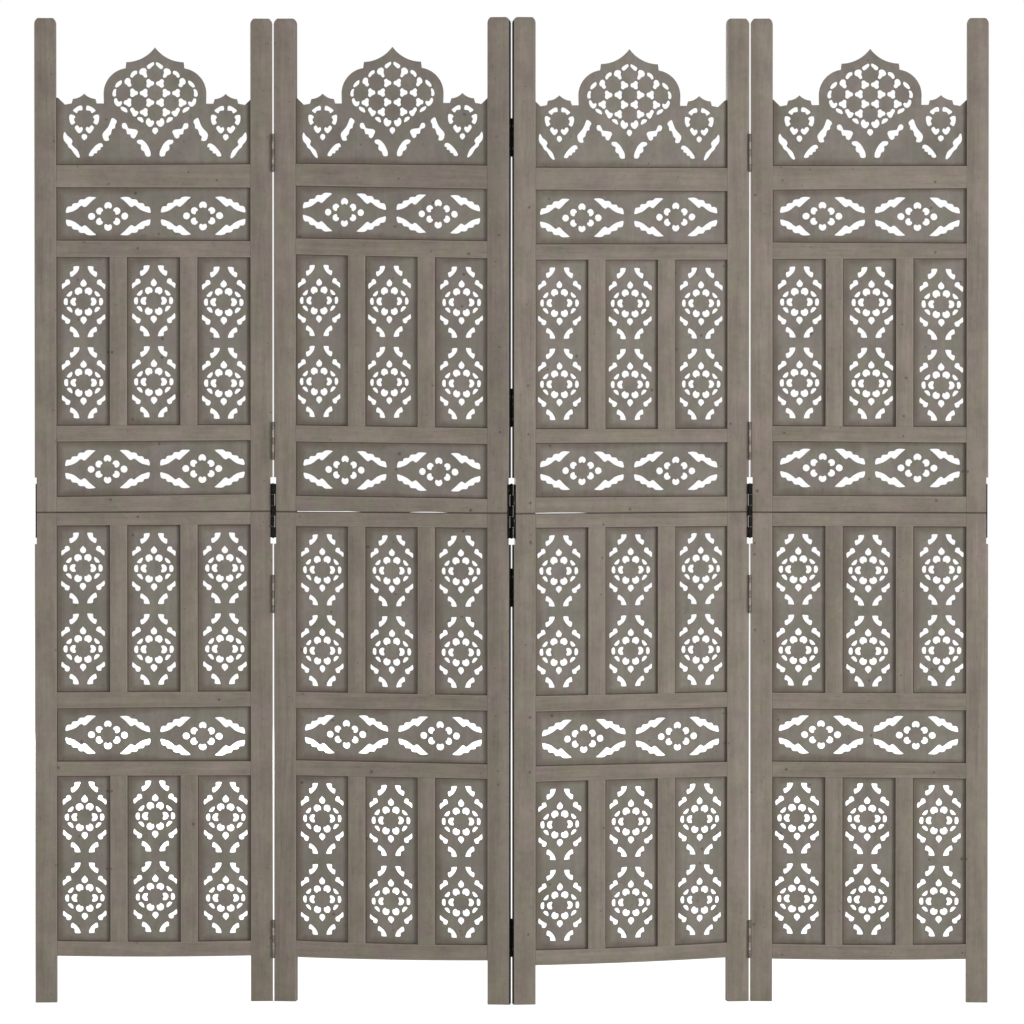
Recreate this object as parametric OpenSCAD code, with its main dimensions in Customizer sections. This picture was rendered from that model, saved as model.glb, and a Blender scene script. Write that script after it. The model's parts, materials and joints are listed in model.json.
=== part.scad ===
// Folding room divider in four panels, of solid wood frames with thin sawn fretwork boards.
// Every panel is a lower and an upper frame. Their stiles meet end to end and are held by
// metal plates let into the outer edges. At a seam the plates of both panels carry knuckles,
// which makes them one tall hinge. Smaller butt hinges join the panels above and below it, with
// the knuckles on the front at the outer seams and on the back at the middle seam.
// Lengths are in millimetres. The front faces -Y and the floor is at Z = 0.

/* [Panel] */
// Width of one panel across both stiles
panel_w = 397.6; // [390:0.1:430]
// Thickness of the frame from front to back
frame_t = 20; // [19:0.5:26]
// Width of a stile seen from the front
stile_w = 36.5; // [34:0.5:42]
// Width of a muntin seen from the front
muntin_w = 29; // [26:0.5:33]
// Height of the stiles above the top rail
horn_h = 248; // [215:1:300]
// Width of the cut on the corners of a stile top
horn_cut_w = 5.5; // [2:0.5:10]
// Height of the cut on the corners of a stile top
horn_cut_h = 9; // [3:0.5:18]
// Outward rise of the cut on the corners of a stile top
horn_cut_rise = 1.2; // [0.2:0.1:1.5]

/* [Rails and openings] */
// Height of the feet below the bottom rail
foot_h = 75; // [50:1:110]
// Height of the bottom rail
bottom_rail_h = 25; // [24:0.5:34]
// Height of the rails between a fret opening and a frieze opening
mid_rail_h = 26; // [24:0.5:34]
// Height of the rail at the top of the lower frame
lower_meeting_rail_h = 27; // [24:0.5:36]
// Height of the rail at the bottom of the upper frame
upper_meeting_rail_h = 25; // [24:0.5:36]
// Height of the top rail
top_rail_h = 37; // [28:0.5:48]
// Height of a frieze opening
frieze_h = 90; // [82:1:110]
// Height of the two fret openings of the lower frame
lower_fret_h = 278; // [272:1:310]
// Height of the fret opening of the upper frame
upper_fret_h = 283; // [272:1:310]
// Gap between the rails where the two frames meet
meeting_gap = 1; // [0.4:0.1:3]

/* [Grooves and boards] */
// Thickness of the sawn boards
board_t = 6; // [5:0.5:8]
// Depth of the grooves that hold the boards and the stub tenons
groove_d = 8; // [6:0.5:9]
// Gap between a board and each wall of its groove
board_play = 0.2; // [0.1:0.05:0.4]
// Gap between the edge of a board, or the end of a tenon, and the groove's bottom
edge_play = 0.5; // [0.3:0.1:0.9]
// Gap between a stub tenon and each wall of its groove
tenon_play = 0.05; // [0.02:0.01:0.1]
// Wood left beside a tenon on the plain edge of a rail
tenon_shoulder = 6; // [3:0.5:8]

/* [Fret motif] */
// Height from one motif centre to the next
fret_pitch = 135.3; // [130:0.1:136]
// Radius of the solid disc in the middle
fret_disc_r = 12; // [10:0.1:12.5]
// Radius of the petal holes
fret_petal_r = 6.7; // [5:0.1:7]
// Distance of the side petals from the centre
fret_petal_side = 16.6; // [16:0.1:18]
// Sideways distance of the upper and lower petals from the centre
fret_petal_x = 8.7; // [8.3:0.1:9.4]
// Height of the upper petals above the centre
fret_petal_z = 17.2; // [16:0.1:18]
// Radius of the round end of a drop hole
fret_drop_r = 5.2; // [4:0.1:5.6]
// Height of the upper drop's round centre above the motif centre
fret_drop_z = 29; // [28.8:0.1:31]
// Length of the slots round the petals
fret_slot_l = 12; // [9:0.1:13]
// Width of the slots round the petals
fret_slot_w = 6.8; // [5:0.1:7.4]
// Distance of the side slots from the centre
fret_slot_side = 29.3; // [28:0.1:31]
// Sideways distance of the upper slots from the centre
fret_slot_x = 23.5; // [23:0.1:25]
// Height of the upper slots above the centre
fret_slot_z = 13.8; // [13.2:0.1:14.6]
// Slope of the upper slots
fret_slot_tilt = 52; // [40:1:65]
// Length of the short leaves
fret_short_l = 19; // [14:0.5:21]
// Width of the short leaves
fret_short_w = 9.2; // [6:0.1:10]
// Sideways distance of the short leaves from the centre
fret_short_x = 28.8; // [27.5:0.1:30]
// Height of the short leaves above the centre
fret_short_z = 30; // [29:0.1:32]
// Length of the long leaves
fret_long_l = 22.5; // [16:0.5:24]
// Width of the long leaves
fret_long_w = 10.6; // [7:0.1:11]
// Sideways distance of the long leaves from the centre
fret_long_x = 14.8; // [13.8:0.1:16]
// Height of the long leaves above the centre
fret_long_z = 51; // [50:0.1:53]
// Slope of both kinds of leaf
fret_leaf_tilt = 49; // [40:1:58]

/* [Frieze motif] */
// Distance of a motif inwards from the middle of its half of the frieze
frieze_motif_in = 1.75; // [0:0.05:2.5]
// Radius of the solid disc in the middle
frieze_disc_r = 12.6; // [9:0.1:13.4]
// Radius of the round holes
frieze_hole_r = 5.9; // [4:0.1:6.4]
// Distance of the outermost holes from the centre
frieze_hole_side = 27.5; // [27.2:0.1:30]
// Sideways distance of the slanting holes from the centre
frieze_hole_x = 14.4; // [14:0.1:15]
// Height of the slanting holes above the centre
frieze_hole_z = 9.2; // [8.6:0.1:10]
// Height of the top hole above the centre
frieze_hole_top = 18.2; // [17.8:0.1:20]
// Length of the leaves
frieze_leaf_l = 56; // [44:0.5:58]
// Width of the leaves
frieze_leaf_w = 12; // [7:0.1:12.6]
// Sideways distance of the leaves from the centre
frieze_leaf_x = 47.4; // [46:0.1:49]
// Height of the leaves above the centre
frieze_leaf_z = 19.6; // [19:0.1:22]
// Slope of the leaves
frieze_leaf_tilt = 26; // [22:1:29]

/* [Crest outline] */
// Height of the crest's point above the top rail
crest_h = 196; // [190:1:210]
// Half width of the pointed cap on the dome
cap_half_w = 48; // [40:0.5:54]
// Half width of the foot of the cap, where it meets the dome
cap_foot_half_w = 49.4; // [48:0.1:56]
// Height of the cap's corners above the top rail
cap_corner_z = 172; // [170:0.5:180]
// Inward sag of the cap's two curves
cap_sag = 6.3; // [2:0.1:9]
// Height of the dome's shoulders, where the cap steps down to them
dome_shoulder_z = 162.6; // [158:0.1:166]
// Half width of the dome
dome_half_w = 86; // [82:0.5:90]
// Height where the dome is widest
dome_side_z = 120; // [112:0.5:124]
// Outward rise of the dome's curves
dome_rise = 10.4; // [5:0.1:14]
// Height of the flat beside the dome
flat_z = 103; // [100:0.5:106]
// Distance of a side point from the stile
point_from_stile = 44; // [42:0.5:48]
// Half width of a side point
point_half_w = 19.7; // [16:0.1:22]
// Height of a side point
point_z = 118.5; // [114:0.5:124]
// Height of the corners beside a side point
point_corner_z = 109.3; // [107:0.1:112]
// Inward sag of a side point's curves
point_sag = 2.4; // [0.5:0.1:3.5]
// Distance of the lowest place from the stile
dip_from_stile = 11.8; // [9:0.1:14]
// Height of the lowest place beside the stile
dip_z = 100.5; // [97:0.5:102]
// Height of the crest at the stile
crest_side_h = 112; // [106:0.5:120]

/* [Crest fretwork] */
// Distance between the discs of the dome's lattice
lattice_pitch = 30.7; // [29.5:0.1:31.5]
// Radius of the discs of the dome's lattice
lattice_disc_r = 11.7; // [10.5:0.1:12.2]
// Width of the bars between the discs
lattice_web = 3.4; // [2.4:0.1:4.4]
// Height of the topmost disc above the top rail
lattice_top_z = 152.4; // [150:0.1:154]
// Height of the top of the fretted field
field_top_z = 171.5; // [168:0.1:174]
// Half width of the fretted field
field_half_w = 70.8; // [69:0.1:73]
// Height of the upper end of the field's sides
field_side_z = 125; // [122:0.5:127]
// Height of the lower end of the field's sides
field_low_z = 104; // [101:0.5:106]
// Height of the field's lower tip
field_tip_z = 58; // [56:0.5:59]
// Outward rise of the field's upper curves
field_rise = 7; // [4:0.1:9]
// Length of the slots on the field's lower edge
edge_slot_l = 12.4; // [9:0.1:13]
// Width of the slots on the field's lower edge
edge_slot_w = 6.2; // [4:0.1:6.6]
// Height of a side rosette's centre
rosette_z = 74.2; // [73:0.1:76]
// Radius of a side rosette's solid disc
rosette_disc_r = 12.6; // [10:0.1:13]
// Distance of the rosette's side slots from its centre
rosette_side_x = 19.6; // [18:0.1:21]
// Sideways distance of the rosette's upper slots from its centre
rosette_top_x = 9.9; // [9.6:0.1:10.6]
// Height of the rosette's upper slots above its centre
rosette_top_z = 16; // [15:0.1:17]
// Slope of the rosette's upper slots
rosette_top_tilt = 32; // [26:1:38]
// Width of the rosette's upper and side slots
rosette_slot_w = 7.6; // [5:0.1:8.2]
// Length of the rosette's upper and side slots
rosette_slot_l = 18.8; // [14:0.1:19.2]
// Radius of the rosette's two lower openings
rosette_low_r = 5.9; // [4:0.1:6.2]
// Sideways distance of the rosette's lower openings from its centre
rosette_low_x = 9.3; // [9:0.1:10]
// Depth of the rosette's lower openings below its centre
rosette_low_z = 15.6; // [15:0.1:17]
// Depth of the drop hole below the rosette's centre
rosette_drop_z = 29.4; // [29:0.1:31]
// Radius of the drop holes below the dome and the rosettes
crest_drop_r = 4.9; // [3.5:0.1:5.1]

/* [Zigzag] */
// Turn of the two middle panels from the straight line
inner_turn = 7.5; // [2:0.1:30]
// Turn of the two outer panels from the straight line
outer_turn = 3; // [1:0.1:20]

/* [Hinges] */
// Gap between two panels when they stand in line
hinge_gap = 2.4; // [1.8:0.1:3]
// Length of the hinge's row of knuckles
hinge_h = 62; // [50:1:76]
// Outer radius of the knuckles
knuckle_r = 2.7; // [2.6:0.05:3]
// Distance of the pin's axis from the face of the frame
pin_out = 3.1; // [3.05:0.05:3.6]
// Radius of the pin
pin_r = 1.4; // [1.2:0.05:1.5]
// Gap all round the pin in its knuckles
pin_play = 0.05; // [0.03:0.01:0.09]
// Gap along the pin from one knuckle to the next
knuckle_gap = 0.4; // [0.3:0.1:0.8]
// Radius of the heads on the pin's ends
pin_head_r = 2.2; // [1.9:0.1:2.5]
// Height of the heads on the pin's ends
pin_head_h = 1.2; // [0.8:0.1:2]
// Thickness of a hinge leaf
leaf_t = 1.2; // [1.2:0.1:1.6]
// Width of a hinge leaf inside its seat
leaf_w = 15; // [12:0.5:16]
// Gap between a leaf and the end of its seat
seat_play = 0.2; // [0.1:0.05:0.5]
// Distance of a leaf's screws from the ends of the leaf
leaf_screw_end = 12; // [8:0.5:16]
// Height of the lowest hinges of the outer seams above the floor
outer_foot_hinge = 105; // [60:1:160]
// Distance of the next hinges of the outer seams below the meeting of the frames
outer_below_meeting = 140; // [125:1:180]
// Distance of the next hinges of the outer seams above the meeting of the frames
outer_above_meeting = 117; // [112:1:160]
// Distance of the highest hinges of the outer seams below the stile tops
outer_below_top = 225; // [80:1:260]
// Height of the lowest hinge of the middle seam above the floor
middle_foot_hinge = 110; // [60:1:160]
// Distance of the next hinge of the middle seam below the meeting of the frames
middle_below_meeting = 128; // [125:1:180]
// Distance of the next hinge of the middle seam above the meeting of the frames
middle_above_meeting = 173; // [110:1:200]
// Distance of the highest hinge of the middle seam below the stile tops
middle_below_top = 200; // [80:1:260]

/* [Joining plates and screws] */
// Length of a joining plate
plate_h = 90; // [80:1:110]
// Width of a joining plate
plate_w = 18; // [14:0.5:18.5]
// Thickness of a joining plate
plate_t = 2; // [1.5:0.1:2.5]
// Depth of the seat cut for a joining plate in the stile's edge
plate_seat_d = 3.2; // [2.8:0.1:4.5]
// Length of the seat beyond each end of the plate
plate_seat_end = 11; // [1:0.5:14]
// Distance of the outer plate screws from the plate's ends
plate_screw_end = 10; // [7:0.5:14]
// Distance from one screw to the next on each half of the plate
plate_screw_pitch = 20; // [16:0.5:22]
// Length of a screw
screw_l = 14; // [10:0.5:16]
// Radius of a screw's shank
screw_r = 1.5; // [1.2:0.05:1.7]
// Radius of a screw's countersunk head
screw_head_r = 2.6; // [2.3:0.05:2.7]
// Gap round a screw in its hole and under its head
screw_play = 0.05; // [0.02:0.01:0.1]
// Width of the slot in a screw's head
screw_slot_w = 0.7; // [0.5:0.1:1]
// Depth of the slot in a screw's head
screw_slot_d = 0.5; // [0.3:0.05:0.6]

/* [Hidden] */
$fn = 48;
wood = [0.49, 0.46, 0.43];
board_wood = [0.45, 0.44, 0.41];
dark_metal = [0.17, 0.16, 0.15];
grey_metal = [0.36, 0.35, 0.33];
// How far a cut runs past the surface that it opens
past = 1;
// Points this near to the middle line lie on it
close = 0.001;
// Length of a drop hole from its round centre to its point, in radii
drop_tip = 1.8;
// Place inside the round end where the sides of the point end, in radii
drop_neck = [0.9, 0.25];
// Least radius of a leaf's lobes, as shares of the leaf's width and of the length of a lobe
lobe_w_share = 0.56;
lobe_l_share = 0.6;
// How much lower a lobe would be at the very end of a leaf, as a share of the leaf's width
leaf_end_drop = 0.6;
// Lobes of the leaves in a fret motif and in a frieze motif
fret_lobes = 2;
frieze_lobes = 5;
// Straight steps that each curve of an outline is made of
corner_steps = 4;
cap_steps = 8;
dome_steps = 10;
point_steps = 5;
field_steps = 8;
// Knuckles in the row of one hinge
knuckle_count = 5;
// Row of the lattice where the drop below the dome stands, and slope of the slots beside it
drop_row = 6;
edge_slot_tilt = 30;

PANEL_PARTS = [
    "upper_left_stile", "upper_right_stile", "lower_left_stile", "lower_right_stile",
    "upper_rails", "lower_rails", "muntins", "crest", "friezes", "fret_boards",
    "joining_plates", "screws"
];
SEAM_PARTS = ["left_hinge_leaves", "right_hinge_leaves", "hinge_pins"];

// Widths inside a frame
inner_w = panel_w - 2 * stile_w;
fret_w = (inner_w - 2 * muntin_w) / 3;
column_pitch = fret_w + muntin_w;
groove_w = board_t + 2 * board_play;
tenon_t = groove_w - 2 * tenon_play;
held = groove_d - edge_play;

// Heights of the levels in a panel, from the floor up
low_fret_z = foot_h + bottom_rail_h;
low_mid_rail_z = low_fret_z + lower_fret_h;
low_frieze_z = low_mid_rail_z + mid_rail_h;
low_frieze_rail_z = low_frieze_z + frieze_h;
high_fret_z = low_frieze_rail_z + mid_rail_h;
low_meeting_rail_z = high_fret_z + lower_fret_h;
meeting_z = low_meeting_rail_z + lower_meeting_rail_h;
mid_frieze_z = meeting_z + upper_meeting_rail_h;
mid_frieze_rail_z = mid_frieze_z + frieze_h;
top_fret_z = mid_frieze_rail_z + mid_rail_h;
top_mid_rail_z = top_fret_z + upper_fret_h;
top_frieze_z = top_mid_rail_z + mid_rail_h;
top_rail_z = top_frieze_z + frieze_h;
crest_z = top_rail_z + top_rail_h;
top_z = crest_z + horn_h;

// Hinge places: the outer seams are 1 and 3, the middle seam is 2
pin_x = (panel_w + hinge_gap) / 2;
pin_y = frame_t / 2 + pin_out;
outer_hinges = [
    outer_foot_hinge, meeting_z - outer_below_meeting,
    meeting_z + outer_above_meeting, top_z - outer_below_top
];
middle_hinges = [
    middle_foot_hinge, meeting_z - middle_below_meeting,
    meeting_z + middle_above_meeting, top_z - middle_below_top
];
function is_seam(s) = s >= 1 && s <= 3;
function hinges(s) = s == 2 ? middle_hinges : outer_hinges;
function hinges_between(s, low, high) = [
    for (z = is_seam(s) ? hinges(s) : []) if (z > low && z < high) z
];
// The seam at the left (-1) or right (1) edge of panel n
function seam_at(n, side) = side > 0 ? n : n - 1;
// The side of the panels that carries a seam's knuckles: -1 is the front, 1 the back
function knuckle_side(s) = s == 2 ? 1 : -1;
// The pin is fixed in the three knuckles of the body that is not moved by it
function has_three_knuckles(s, side) = s == 1 ? side < 0 : side > 0;

// Places of the panels when the divider stands in its zigzag
turns = [outer_turn, -inner_turn, inner_turn, -outer_turn];
function turned(p, a) = [p[0] * cos(a) - p[1] * sin(a), p[0] * sin(a) + p[1] * cos(a)];
function pin_in_panel(side, s) = [side * pin_x, knuckle_side(s) * pin_y];
place_2 = -turned(pin_in_panel(1, 2), turns[1]);
place_3 = -turned(pin_in_panel(-1, 2), turns[2]);
pin_1 = place_2 + turned(pin_in_panel(-1, 1), turns[1]);
pin_3 = place_3 + turned(pin_in_panel(1, 3), turns[2]);
place_1 = pin_1 - turned(pin_in_panel(1, 1), turns[0]);
place_4 = pin_3 - turned(pin_in_panel(-1, 3), turns[3]);
places = [place_1, place_2, place_3, place_4];
corner_depths = [
    for (n = [0 : 3]) for (x = [-panel_w / 2, panel_w / 2]) for (y = [-frame_t / 2, frame_t / 2])
        (places[n] + turned([x, y], turns[n]))[1]
];
pin_depths = [for (y = [pin_1[1], 0]) for (r = [-knuckle_r, knuckle_r]) y + r];
depths = concat(corner_depths, pin_depths);
middle_y = (min(depths) + max(depths)) / 2;

// Sizes of the lattice in the crest's dome
lattice_column = lattice_pitch * cos(30);
lattice_row = lattice_pitch / 2;
lattice_corner = lattice_pitch / sqrt(3);
// Openings of the lattice: the row below the topmost disc, and the places in thirds of a column
lattice_openings = [
    [-1, [1]], [0, [2, 4]], [1, [1, 5, 7]], [2, [2, 4, 8]], [3, [1, 5, 7]], [4, [2, 4]], [5, [1]]
];
// Columns and rows of the two slots on each lower edge of the field
edge_slots = [[2, 4], [1, 5]];
// Step of a slot inwards from its place in the lattice
edge_slot_in = 2;
point_x = inner_w / 2 - point_from_stile;
// Leaves of the crest: distance from the middle, height, length, width, turn and lobes
crest_leaves = [
    [18.3, 29.3, 32.5, 11.2, 236, 3],
    [42.6, 57.4, 33, 11.2, 218, 3],
    [76.6, 58.8, 43, 11.4, 118, 4],
    [98, 26.4, 28.5, 9.4, 137, 3]
];
// The leaf beside the stile: distance from the stile, then as above
stile_leaf = [22, 32.6, 44, 9.6, 237, 4];

// Draws its children where panel n stands
module in_panel(n) {
    translate([places[n - 1][0], places[n - 1][1] - middle_y, 0])
        rotate([0, 0, turns[n - 1]])
            children();
}

// Draws its children at a seam's hinge: the pin is the origin, +X runs into the panel and
// +Y into the thickness of the frame
module at_hinge(n, side, s, z) {
    in_panel(n)
        at_pin(side, s, z)
            children();
}

module at_pin(side, s, z) {
    translate([side * pin_x, knuckle_side(s) * pin_y, z])
        mirror([side > 0 ? 1 : 0, 0, 0])
            mirror([0, knuckle_side(s) > 0 ? 1 : 0, 0])
                children();
}

// Stands a flat shape up, with its Y as height, as a board of thickness t in mid frame
module standing(t) {
    rotate([90, 0, 0])
        linear_extrude(height = t, center = true)
            children();
}

// Points from p to q along an arc whose middle rises to the left of the line by rise
function arc_between(p, q, rise, steps) =
    let (
        half = norm(q - p) / 2,
        r = (half * half + rise * rise) / (2 * rise),
        along = (q - p) / (2 * half),
        left = [-along[1], along[0]],
        centre = (p + q) / 2 + left * (rise - r),
        half_angle = asin(half / abs(r))
    )
    [
        for (i = [0 : steps])
            let (a = (2 * i / steps - 1) * half_angle)
                centre + left * r * cos(a) + along * abs(r) * sin(a)
    ];

// Screw with its head's top at Z = 0, pointing down
module screw() {
    difference() {
        union() {
            translate([0, 0, screw_r - screw_head_r])
                cylinder(h = screw_head_r - screw_r, r1 = screw_r, r2 = screw_head_r);
            translate([0, 0, -screw_l])
                cylinder(h = screw_l + screw_r - screw_head_r, r = screw_r);
        }
        translate([-screw_head_r, -screw_slot_w / 2, -screw_slot_d])
            cube([2 * screw_head_r, screw_slot_w, screw_slot_d + past]);
    }
}

// Space for a screw, with its countersink
module screw_hole() {
    r = screw_r + screw_play;
    head_r = screw_head_r + screw_play;
    translate([0, 0, r - head_r])
        cylinder(h = head_r - r, r1 = r, r2 = head_r);
    cylinder(h = past, r = head_r);
    translate([0, 0, -screw_l - edge_play])
        cylinder(h = screw_l + edge_play, r = r);
}

// Draws its children at each screw of a hinge leaf, pointing into the stile
module at_leaf_screws() {
    for (up = [-1, 1])
        translate([hinge_gap / 2, pin_out + leaf_w / 2, up * (hinge_h / 2 - leaf_screw_end)])
            rotate([0, -90, 0])
                children();
}

// Heights of the plate screws from the meeting of the frames
plate_screw_heights = [
    plate_screw_end - plate_h / 2, plate_screw_end + plate_screw_pitch - plate_h / 2,
    plate_h / 2 - plate_screw_pitch - plate_screw_end, plate_h / 2 - plate_screw_end
];

// Draws its children at each plate screw, in the frame of a left stile with X = 0 at its edge
module at_plate_screws() {
    for (z = plate_screw_heights)
        translate([plate_seat_d - plate_t, 0, meeting_z + z])
            rotate([0, -90, 0])
                children();
}

// Outline of a stile from the front, with its two top corners cut if it has a free end
module stile_outline(low, high, free_top) {
    corner = arc_between([0, high - horn_cut_h], [horn_cut_w, high], horn_cut_rise, corner_steps);
    if (free_top)
        polygon(concat(
            [[stile_w, low], [0, low]], corner,
            [for (i = [corner_steps : -1 : 0]) [stile_w - corner[i][0], corner[i][1]]]
        ));
    else
        translate([0, low])
            square([stile_w, high - low]);
}

// A left stile with its outer edge at X = 0. The groove runs from groove_low to groove_high
module left_stile(low, high, free_top, groove_low, groove_high, s) {
    difference() {
        standing(frame_t)
            stile_outline(low, high, free_top);
        translate([stile_w - groove_d, -groove_w / 2, groove_low])
            cube([groove_d + past, groove_w, groove_high - groove_low]);
        translate([-past, -frame_t / 2 - past, meeting_z - plate_h / 2 - plate_seat_end])
            cube([plate_seat_d + past, frame_t + 2 * past, plate_h + 2 * plate_seat_end]);
        at_plate_screws()
            screw_hole();
        // The hinge seats are cut in the frame of a left edge, whichever edge the stile is
        for (z = hinges_between(s, low, high))
            translate([-hinge_gap / 2, knuckle_side(s) * pin_y, z])
                mirror([0, knuckle_side(s) > 0 ? 1 : 0, 0])
                    hinge_seat();
    }
}

// Seat of one hinge leaf with its screw holes, cut from a stile
module hinge_seat() {
    translate([hinge_gap / 2 - past, pin_out - past, -hinge_h / 2 - seat_play])
        cube([leaf_t + past, leaf_w + seat_play + past, hinge_h + 2 * seat_play]);
    at_leaf_screws()
        screw_hole();
}

// Puts a left stile at the left or the right edge of its panel
module at_edge(side) {
    mirror([side > 0 ? 1 : 0, 0, 0])
        translate([-panel_w / 2, 0, 0])
            children();
}

module lower_stile(n, side) {
    color(wood)
        in_panel(n)
            at_edge(side)
                left_stile(0, meeting_z, false, foot_h + tenon_shoulder, meeting_z + past,
                    seam_at(n, side));
}

module upper_stile(n, side) {
    color(wood)
        in_panel(n)
            at_edge(side)
                left_stile(meeting_z, top_z, true, meeting_z - past, crest_z + crest_side_h + edge_play,
                    seam_at(n, side));
}

// A rail between the stiles. grooves tells which of its lower and upper edge holds boards
module rail(low, height, grooves) {
    tenon_low = grooves[0] ? groove_d : tenon_shoulder;
    tenon_high = grooves[1] ? groove_d : tenon_shoulder;
    difference() {
        translate([-inner_w / 2, -frame_t / 2, low])
            cube([inner_w, frame_t, height]);
        if (grooves[0])
            translate([-inner_w / 2 - past, -groove_w / 2, low - past])
                cube([inner_w + 2 * past, groove_w, groove_d + past]);
        if (grooves[1])
            translate([-inner_w / 2 - past, -groove_w / 2, low + height - groove_d])
                cube([inner_w + 2 * past, groove_w, groove_d + past]);
    }
    translate([-inner_w / 2 - held, -tenon_t / 2, low + tenon_low])
        cube([inner_w + 2 * held, tenon_t, height - tenon_low - tenon_high]);
}

module lower_rails(n) {
    color(wood)
        in_panel(n) {
            rail(foot_h, bottom_rail_h, [false, true]);
            rail(low_mid_rail_z, mid_rail_h, [true, true]);
            rail(low_frieze_rail_z, mid_rail_h, [true, true]);
            rail(low_meeting_rail_z, lower_meeting_rail_h - meeting_gap / 2, [true, false]);
        }
}

module upper_rails(n) {
    color(wood)
        in_panel(n) {
            rail(meeting_z + meeting_gap / 2, upper_meeting_rail_h - meeting_gap / 2, [false, true]);
            rail(mid_frieze_rail_z, mid_rail_h, [true, true]);
            rail(top_mid_rail_z, mid_rail_h, [true, true]);
            rail(top_rail_z, top_rail_h, [true, true]);
        }
}

// An upright between two fret boards, with a stub tenon at each end
module muntin(low, height) {
    difference() {
        translate([-muntin_w / 2, -frame_t / 2, low])
            cube([muntin_w, frame_t, height]);
        for (side = [-1, 1])
            translate([side * (muntin_w - groove_d + past) / 2, 0, low + height / 2])
                cube([groove_d + past, groove_w, height + 2 * past], center = true);
    }
    translate([groove_d - muntin_w / 2, -tenon_t / 2, low - held])
        cube([muntin_w - 2 * groove_d, tenon_t, height + 2 * held]);
}

// Lower edge and height of each fret opening
fret_openings = [
    [low_fret_z, lower_fret_h], [high_fret_z, lower_fret_h], [top_fret_z, upper_fret_h]
];

module muntins(n) {
    color(wood)
        in_panel(n)
            for (opening = fret_openings)
                for (side = [-1, 1])
                    translate([side * column_pitch / 2, 0, 0])
                        muntin(opening[0], opening[1]);
}

// A round hole drawn out to a point upwards
module drop_hole(r) {
    circle(r = r);
    polygon(r * [[-drop_neck[0], drop_neck[1]], [0, drop_tip], [drop_neck[0], drop_neck[1]]]);
}

// A slot with round ends that lies along X
module slot_hole(l, w) {
    for (side = [-1, 1])
        translate([side * (l - w) / 2, 0])
            circle(r = w / 2);
    square([l - w, w], center = true);
}

// A leaf that lies along X, straight below, with round lobes above that are lower at its ends
module leaf_hole(l, w, lobes) {
    lobe_r = max(lobe_w_share * w, lobe_l_share * l / lobes);
    step = (l - 2 * lobe_r) / (lobes - 1);
    intersection() {
        square([l, w], center = true);
        for (i = [0 : lobes - 1]) {
            x = lobe_r - l / 2 + i * step;
            drop = leaf_end_drop * w * pow(2 * x / l, 2);
            translate([x, w / 2 - lobe_r - drop])
                circle(r = lobe_r);
        }
    }
}

// Repeats its flat children mirrored left to right, or left to right and top to bottom
module both_sides() {
    children();
    mirror([1, 0, 0])
        children();
}

module all_quarters() {
    both_sides()
        children();
    mirror([0, 1, 0])
        both_sides()
            children();
}

// The openings of one fret motif round its centre
module fret_motif() {
    difference() {
        union() {
            both_sides()
                translate([fret_petal_side, 0])
                    circle(r = fret_petal_r);
            all_quarters()
                translate([fret_petal_x, fret_petal_z])
                    circle(r = fret_petal_r);
        }
        circle(r = fret_disc_r);
    }
    for (turn = [0, 180])
        rotate(turn)
            translate([0, fret_drop_z])
                drop_hole(fret_drop_r);
    both_sides()
        translate([fret_slot_side, 0])
            rotate(90)
                slot_hole(fret_slot_l, fret_slot_w);
    all_quarters() {
        translate([fret_slot_x, fret_slot_z])
            rotate(-fret_slot_tilt)
                slot_hole(fret_slot_l, fret_slot_w);
        translate([fret_short_x, fret_short_z])
            rotate(-fret_leaf_tilt)
                leaf_hole(fret_short_l, fret_short_w, fret_lobes);
        translate([fret_long_x, fret_long_z])
            rotate(-fret_leaf_tilt)
                leaf_hole(fret_long_l, fret_long_w, fret_lobes);
    }
}

// A fret board for an opening of the given height, with as many motifs as fit
module fret_board(height) {
    motifs = max(1, floor(height / fret_pitch));
    standing(board_t)
        difference() {
            square([fret_w + 2 * held, height + 2 * held], center = true);
            for (i = [0 : motifs - 1])
                translate([0, (i - (motifs - 1) / 2) * fret_pitch])
                    fret_motif();
        }
}

module fret_boards(n) {
    color(board_wood)
        in_panel(n)
            for (opening = fret_openings)
                for (column = [-1 : 1])
                    translate([column * column_pitch, 0, opening[0] + opening[1] / 2])
                        fret_board(opening[1]);
}

// The openings of one frieze motif round its centre
module frieze_motif() {
    difference() {
        union() {
            both_sides()
                translate([frieze_hole_side, 0])
                    circle(r = frieze_hole_r);
            all_quarters()
                translate([frieze_hole_x, frieze_hole_z])
                    circle(r = frieze_hole_r);
            for (up = [-1, 1])
                translate([0, up * frieze_hole_top])
                    circle(r = frieze_hole_r);
        }
        circle(r = frieze_disc_r);
    }
    all_quarters()
        translate([frieze_leaf_x, frieze_leaf_z])
            rotate(-frieze_leaf_tilt)
                leaf_hole(frieze_leaf_l, frieze_leaf_w, frieze_lobes);
}

module frieze_board() {
    standing(board_t)
        difference() {
            square([inner_w + 2 * held, frieze_h + 2 * held], center = true);
            for (side = [-1, 1])
                translate([side * (inner_w / 4 - frieze_motif_in), 0])
                    frieze_motif();
        }
}

module friezes(n) {
    color(board_wood)
        in_panel(n)
            for (z = [low_frieze_z, mid_frieze_z, top_frieze_z])
                translate([0, 0, z + frieze_h / 2])
                    frieze_board();
}

// A list of points without its first, which the list before it already holds
function after_first(points) = [for (i = [1 : len(points) - 1]) points[i]];

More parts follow.
